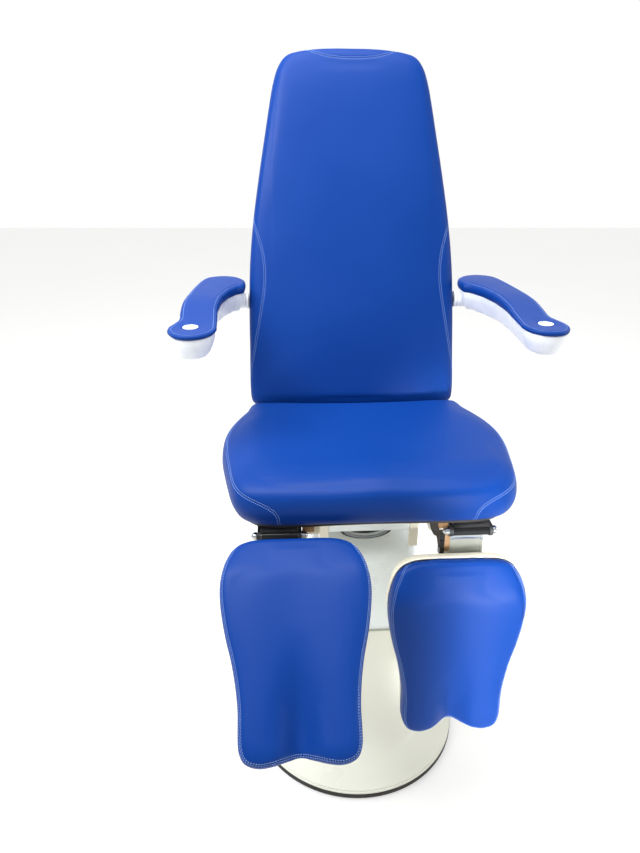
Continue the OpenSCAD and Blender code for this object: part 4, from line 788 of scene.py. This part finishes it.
# Piece: form, body, place, how far its back lies out of the part's plane, and whether it is mirrored
PADS = {"seat_cushion": ("seat", "seat", SEAT, 0, False),
        "back_cushion": ("back", "back", BACK, -BACK_THICK, False)}
for side, flip in SIDES:
    PADS[f"leg_cushion_{side}"] = ("leg", f"leg_rest_{side}", leg_place(side), SHELL_RIM - 1, flip)
    PADS[f"arm_pad_{side}"] = ("arm", f"arm_{side}", ARM, -PAD_BELOW, flip)


covers = {}
for kind, (rings, seams, holds, cap, voxel, rows) in FORMS.items():
    points, quads = upholstered(rings, seams + holds, cap, voxel)
    covers[kind] = (points, quads, *sewn(points, quads, seams, rows))
for node, (kind, body, place, lift, flip) in PADS.items():
    points, quads, stitched, stitch_quads, creases = covers[kind]
    turn_round = slice(None, None, -1 if flip else 1)
    cover = piece(node + "_cover", set_in(points, place, lift, flip), [quads[:, turn_round]])
    if kind == "arm":
        cut(cover, [bar([*ARM_HOLE, -30], [*ARM_HOLE, 40], ARM_HOLE_R, place, flip)], 50)
    dressed(cover, body, LEATHERETTE, "blue_upholstery", node)
    thread = merged(piece(node + "_stitching", set_in(stitched, place, lift, flip),
                          [stitch_quads[:, turn_round]]))
    dressed(thread, body, THREAD, "blue_upholstery")
    # The turned edge in each seam's groove takes the darker cover tone of painted shade
    for i, crease in enumerate(creases):
        edge = tube(f"{node}_seam_{i}", set_in(crease, place, lift, flip), TURNED_R, 6)
        dressed(edge, body, SEAM_SHADE, "blue_upholstery")


# Moulded trays below and behind the cushions
def tray_rings(loop, middles, insets, levels, wall, floor):
    """Rings of an open tray: from the middle of its underside out and up its side to a rounded lip,
    a half circle, and down inside, a wall away, to the middle of its floor."""
    middles = np.broadcast_to(middles, loop.shape)
    inset, z = smooth_path(np.c_[insets, [*levels[:-1], levels[-1] - wall / 2]], 5).T
    a = np.linspace(0, math.pi, 8)[1:-1]
    lip = np.c_[insets[-1] + wall / 2 * (1 - np.cos(a)), levels[-1] - wall / 2 * (1 - np.sin(a))]
    low = levels[0] + floor
    inside = np.c_[inset + wall, np.maximum(z, low)][::-1]
    inside = inside[: int((z > low).sum()) + 1]
    inner = np.linspace(0, 1, 6)
    rim = np.vstack([np.c_[inset, z], lip, inside])
    rings = [np.c_[drawn_in(loop, middles, i), np.full(len(loop), h)] for i, h in rim]
    first = [np.c_[middles + (rings[0][:, :2] - middles) * u, rings[0][:, 2]] for u in inner[:-1]]
    last = [np.c_[middles + (rings[-1][:, :2] - middles) * u, rings[-1][:, 2]] for u in inner[-2::-1]]
    return np.array(first + rings + last)


TRAY_START, TRAY_LEN = 14, 394
LEG_WALL, ARM_WALL, ARM_FLOOR, BACK_WALL = 3.5, 5, 4, 3
tray_line, tray_middle = leg_loop(TRAY_START, TRAY_LEN)
leg_tray = tray_rings(tray_line, tray_middle, [24, 12, 4, 1, 0], [-17, -12.9, -5.2, 8.2, SHELL_RIM],
                      LEG_WALL, LEG_WALL)
arm_tray = tray_rings(arm_line, arm_middles, [26, 17, 7, 4], [-50, -44.2, -21.2, -PAD_BELOW],
                      ARM_WALL, ARM_FLOOR)
# Hub of an arm rest: inner end of its axis, radius, width, bore, and the pivot head's seat outside it
HUB = np.array([ARM_X, 318, 1135])
HUB_R, HUB_W, HUB_BORE_R = 20, 34, 8.1
HUB_OUT = HUB + [HUB_W, 0, 0]
HEAD_SEAT_R, HEAD_SEAT_H = 14.3, 5
HUB_PROFILE = [[HUB_BORE_R, 0], [HUB_R - 1, 0], [HUB_R, 1], [HUB_R, HUB_W - 1], [HUB_R - 1, HUB_W],
               [HUB_BORE_R, HUB_W]]


def lathe(name, profile, origin, axis, sides=64, mirror=False):
    """Ring turned about an axis: a closed profile of radius and height carried round a circle."""
    r, h = np.asarray(profile, float).T
    a = np.arange(sides) * 2 * math.pi / sides
    e = unit(np.array(axis, float))
    u = unit(np.cross(e, [0.2, 0.3, 0.9]))
    v = np.cross(e, u)
    points = (np.array(origin) + h[:, None, None] * e
              + r[:, None, None] * (np.cos(a)[:, None] * u + np.sin(a)[:, None] * v))
    return skin(name, points * [-1, 1, 1] if mirror else points, not mirror, True)


for side, flip in SIDES:
    tray = skin(f"leg_tray_{side}", set_in(leg_tray, leg_place(side), 0, flip), flip)
    dressed(tray, f"leg_rest_{side}", CREAM_ABS, "cream_plastic", f"leg_shell_{side}")
    tray = skin(f"arm_tray_{side}", set_in(arm_tray, ARM, 0, flip), flip)
    cut(tray, [bar(HUB - [4, 0, 0], HUB_OUT, HUB_BORE_R, CHAIR, flip),
               bar(HUB_OUT, HUB_OUT + [HEAD_SEAT_H, 0, 0], HEAD_SEAT_R, CHAIR, flip)])
    dressed(tray, f"arm_{side}", WHITE_ABS, "cream_plastic", f"arm_body_{side}")
    hub = lathe(f"arm_hub_{side}", HUB_PROFILE, HUB, (1, 0, 0), mirror=flip)
    hub.data.set_sharp_from_angle(angle=math.radians(35))
    dressed(hub, f"arm_{side}", WHITE_ABS, "cream_plastic")


# Openings of the back's shell, in its own frame: for the board, and on each side for the uprights and
# the arm bracket
BOARD_GAP = [-234.8, 44, -72.3], [234.8, 108, -59]
UPRIGHT_GAP = [0, 44, -97.6], [188.2, 108, -59]
BRACKET_GAP = [177, 231.8, -96.4], [270.5, 263, -71.4]
SHELL_INSET, SHELL_START = 16, 60


def back_tray():
    """Rear shell of the back: a tray whose lower edge is nearly straight, cut out round the board,
    the uprights and the arm brackets."""
    line = drawn_in(back_loop, np.broadcast_to(back_middle, back_loop.shape), SHELL_INSET)
    line[:, 1] = np.maximum(line[:, 1], SHELL_START + (line[:, 1] - BACK_START) * 0.1)
    rings = tray_rings(line, back_middle, [44, 26, 4, 0], [-108, -103.2, -86.4, -BACK_THICK],
                       BACK_WALL, BACK_WALL)
    shell = skin("back_tray", set_in(rings, BACK))
    cutters = [block(*BOARD_GAP, BACK)]
    for flip in (False, True):
        cutters += [block(*UPRIGHT_GAP, BACK, flip), block(*BRACKET_GAP, BACK, flip)]
    return cut(shell, cutters)


dressed(back_tray(), "back", CREAM_ABS, "cream_plastic", "back_shell")


# Small pieces: end plugs, screw caps, cables and the strips beside the leg hinges
def stack(name, half, power, rows, origin, axis, count=32):
    """Closed stack of squarish rings along an axis: each row gives an inset and a height, and the
    first and last ring shrink to their middle."""
    e = unit(np.array(axis, float))
    u = unit(np.cross([0, 1, 0] if abs(e[1]) < 0.5 else [0, 0, 1], e))
    turn = np.stack([u, np.cross(e, u), e])
    half = np.asarray(half, float)
    rings = [square_ring(half - i, power, h, count) for i, h in rows]
    rings = [rings[0] * [0, 0, 1], *rings, rings[-1] * [0, 0, 1]]
    return skin(name, np.array(rings) @ turn + origin)


# Each row is an inset and a height. A plug goes into a tube's end and stands out of it; a cap lies on
# the shell, over a screw
PLUG_ROWS = [(3.4, -9), (3.0, -8), (3.0, 0.05), (0.6, 0.05), (0.1, 0.6), (0.1, 1.6), (0.5, 2.2), (1.6, 2.6),
             (5, 2.8)]
CAP_ROWS = [(6.9, 0), (0.4, 0), (0, 0.6), (0, 1.6), (0.8, 2.6), (2.6, 3.2)]
# Powers of the rings' roundness: a round piece, the end of a square tube, and a plate
ROUND, TUBE_END, PLATE = 2, 9, 10
RAIL_X, RAIL_Z, RAIL_ENDS = 129.5, 790, (("front", -225, -1), ("rear", 235, 1))
CROSS_END = np.array([247, -185, 792.5])
CAP_R, CAP_SPOTS, SHELL_BACK = 7, ((150, 150), (120, 700)), -108
for side, flip in SIDES:
    sign = -1 if flip else 1
    for end, y, way in RAIL_ENDS:
        plug = stack(f"rail_plug_{end}_{side}", (12.5, 15), TUBE_END, PLUG_ROWS,
                     [sign * RAIL_X, y, RAIL_Z], (0, way, 0))
        dressed(plug, "seat", CREAM_ABS, "cream_plastic")
    plug = stack(f"cross_plug_{side}", (15, 12.5), TUBE_END, PLUG_ROWS, CROSS_END * [sign, 1, 1],
                 (sign, 0, 0))
    dressed(plug, "seat", NYLON, "black_plastic")
    for x, s in CAP_SPOTS:
        behind, face = set_in([[sign * x, s, SHELL_BACK - 1], [sign * x, s, SHELL_BACK]], BACK)
        cap = stack(f"shell_cap_{side}_{s}", (CAP_R, CAP_R), ROUND, CAP_ROWS, face, behind - face)
        dressed(cap, "back", CREAM_ABS, "cream_plastic")

# White floor at the lower end of each arm socket
DISC_R, DISC_Z, DISC_ROWS = 15.5, -20.5, [(0, 0), (0, 1), (0.4, 1.3)]
for side, flip in SIDES:
    low, high = set_in([[*ARM_HOLE, DISC_Z], [*ARM_HOLE, DISC_Z + 1]], ARM, 0, flip)
    disc = stack(f"socket_floor_{side}", (DISC_R, DISC_R), ROUND, DISC_ROWS, low, high - low)
    dressed(disc, f"arm_{side}", COOL_ABS, "white_cover")

# Cables below the control box: half loops from its underside and back into it. Each has its two ends
# along X, how far it hangs, how far it lies behind the middle one, its radius and its sheath
box_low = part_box("control_box")[0][2] / MM
CABLE_Y, CABLE_POINTS = -137, 33
CABLES = {"front": (-56, 44, 21, -5, 2.5, GREY_PVC), "middle": (-64, 52, 26, 0, 3.5, BLACK_PVC),
          "rear": (-47, 34, 15, 5, 3, BLACK_PVC)}
a = np.linspace(0, math.pi, CABLE_POINTS)
for name, (start, end, drop, aside, radius, sheath) in CABLES.items():
    path = np.c_[(start + end) / 2 - (end - start) / 2 * np.cos(a), np.full(CABLE_POINTS, CABLE_Y + aside),
                 box_low - drop * np.sin(a)]
    path = np.vstack([path[0] + [0, 0, 2], path, path[-1] + [0, 0, 2]])
    dressed(tube(f"cable_{name}", path, radius, 12), "swivel", sheath, "rubber_ring", "cable_loops")

# At each leg hinge: a domed nut on its inner end, a black fillet below the board, and tan edging plates
# above and below the hinge. The fillet is painted shade: a dark piece where the board shades the hinge.
# The fillet's section is given by Y and Z, and its ends by X
SHADE_FILLET = np.array([[-206, 804.6], [-238, 804.6], [-247, 798.5], [-248, 794.6], [-232, 794.4], [-208, 797]])
SHADE_FILLET_MID, SHADE_FILLET_ENDS = np.array([-228, 799]), (163.6, 239.4)
EDGING_ROWS = [(0, 0), (0, 1.1), (0.5, 1.5)]
HIGH_HALF, HIGH_AT = (12.5, 10), np.array([142, -231, 794])
LOW_HALF, LOW_AT = (6.4, 22), np.array([158, -37, -21.8])
DOME_R, DOME_X = 9, 151
a = np.linspace(0, math.pi / 2, 8)
DOME = np.vstack([[[0.4, -0.6], [DOME_R, -0.6]], DOME_R * np.c_[np.cos(a), np.sin(a)][:-1],
                  [[0.4, DOME_R]]])
shade_fillet_shape = (SHADE_FILLET_ENDS[0], 0), (SHADE_FILLET_ENDS[0], 1), (SHADE_FILLET_ENDS[1], 1), (SHADE_FILLET_ENDS[1], 0)
for side, flip in SIDES:
    way = np.array([-1 if flip else 1, 1, 1])
    dome = lathe(f"hinge_dome_{side}", DOME, LEG_HINGE + [DOME_X, 0, 0], (-1, 0, 0), 40, flip)
    dressed(dome, "seat", CHROME, "chrome_steel")
    # Black fillet below the board: a dark piece that paints the shade above the hinge
    shade_fillet = np.array([np.c_[np.full(len(SHADE_FILLET), x), (SHADE_FILLET - SHADE_FILLET_MID) * size + SHADE_FILLET_MID]
                       for x, size in shade_fillet_shape])
    dressed(skin(f"hinge_shade_fillet_{side}", shade_fillet * way, flip), "seat", NYLON, "black_plastic")
    high = stack(f"edging_plate_high_{side}", HIGH_HALF, PLATE, EDGING_ROWS, HIGH_AT * way, (0, -1, 0))
    dressed(high, "seat", TAN_STRIP, "birch_plywood")
    spot, face = set_in([LOW_AT, LOW_AT + [0, 0, 1]], leg_place(side, False), 0, flip)
    low = stack(f"edging_plate_low_{side}", LOW_HALF, PLATE, EDGING_ROWS, spot, face - spot)
    dressed(low, f"leg_arm_{side}", TAN_STRIP, "birch_plywood")

# Flexible black band from the seat to the strut of the right leg rest: flat, and narrower downwards.
# It hangs from the seat at its first three points and lies along the leg's arm at its last three
BAND_HANGS = [[122, -234, 803], [126, -235, 786], [134, -232, 769]]
BAND_LIES = [[141, -21, -19.5], [143, -34, -19.5], [145, -48, -19.5]]
BAND_HALF_TOP, BAND_HALF_LOW, BAND_HALF_THICK = 9, 6, 1.3


def band_rings(run):
    """Flat oval rings along a run: half widths fall evenly from its top to its low end."""
    share = np.linspace(0, 1, len(run))[:, None, None]
    a = np.arange(12) * math.pi / 6
    along = unit(np.gradient(run, axis=0))
    wide = unit(np.cross(along, np.cross([1, 0, 0], along) + [0, 1e-6, 0]))
    half = BAND_HALF_TOP - (BAND_HALF_TOP - BAND_HALF_LOW) * share
    flat = half * np.cos(a)[None, :, None] * wide[:, None]
    thick = BAND_HALF_THICK * np.sin(a)[None, :, None] * np.cross(along, wide)[:, None]
    return capped(run, run[:, None] + flat + thick)


fixed = set_in(BAND_LIES, leg_place("right", False))
run = evenly(smooth_path([*BAND_HANGS, *fixed], 10), 3)
band = dressed(skin("hinge_band_right", band_rings(run)), None, RUBBER, "rubber_ring")
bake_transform(band)

# Pale studio floor, not part of the object; it glows a little, so that it stays pale far from the chair
FLOOR_HALF = 9000
ground = piece("floor", FLOOR_HALF * np.array([[-1, -1, 0], [1, -1, 0], [1, 1, 0], [-1, 1, 0]]),
               [np.array([[0, 1, 2, 3]])], smooth=False)
ground.data.materials.append(finish("pale_floor", "D0D0CE", "CDCDCB", 900, (0.55, 0.65),
                                    **{"Emission Color": linear("FFFFFF"), "Emission Strength": 0.42}))


# Light
def soft_light(name, at, size, power, aim=(0, 0, 0.9), tint="FFFFFF", tall=None, spread=180):
    """Area light that faces a point: square, or as tall as stated, its light spread over an angle."""
    lamp = bpy.data.lights.new(name, "AREA")
    lamp.size, lamp.energy, lamp.color = size, power, linear(tint)[:3]
    lamp.spread = math.radians(spread)
    if tall:
        lamp.shape, lamp.size_y = "RECTANGLE", tall
    obj = bpy.data.objects.new(name, lamp)
    obj.location = at
    obj.rotation_mode = "QUATERNION"
    obj.rotation_quaternion = (Vector(at) - Vector(aim)).to_track_quat("Z", "Y")
    scene.collection.objects.link(obj)


soft_light("ceiling", (-0.3, -0.3, 3.6), 2.0, 100)
soft_light("window_left", (-1.3, -0.5, 2.6), 1.0, 48, (-0.1, 0.5, 1.6), "F4F8FF")
soft_light("window_right", (3.0, -0.4, 1.5), 1.6, 24)
soft_light("door_right", (0.46, -3.2, 0.62), 0.6, 3.6, (0.46, 0, 0.56), "FFFFFF", 0.72, 5)

# Pale room, bright behind the chair and dim before it: its strength rises from one to the other between
# two values of the direction's Y
DIM, BRIGHT, DIM_Y, BRIGHT_Y = 0.48, 1.0, 0.05, 0.36
world = bpy.data.worlds.new("pale_room")
world.use_nodes = True
sky = world.node_tree
sky.nodes.clear()
towards = add_node(sky, "ShaderNodeSeparateXYZ",
                   {0: add_node(sky, "ShaderNodeTexCoord").outputs["Generated"]})
glow = add_node(sky, "ShaderNodeMapRange",
                {0: towards.outputs["Y"], 1: DIM_Y, 2: BRIGHT_Y, 3: DIM, 4: BRIGHT})
room = add_node(sky, "ShaderNodeBackground", {"Color": linear("FFFFFF"), "Strength": glow.outputs[0]})
add_node(sky, "ShaderNodeOutputWorld", {0: room.outputs[0]})
scene.world = world
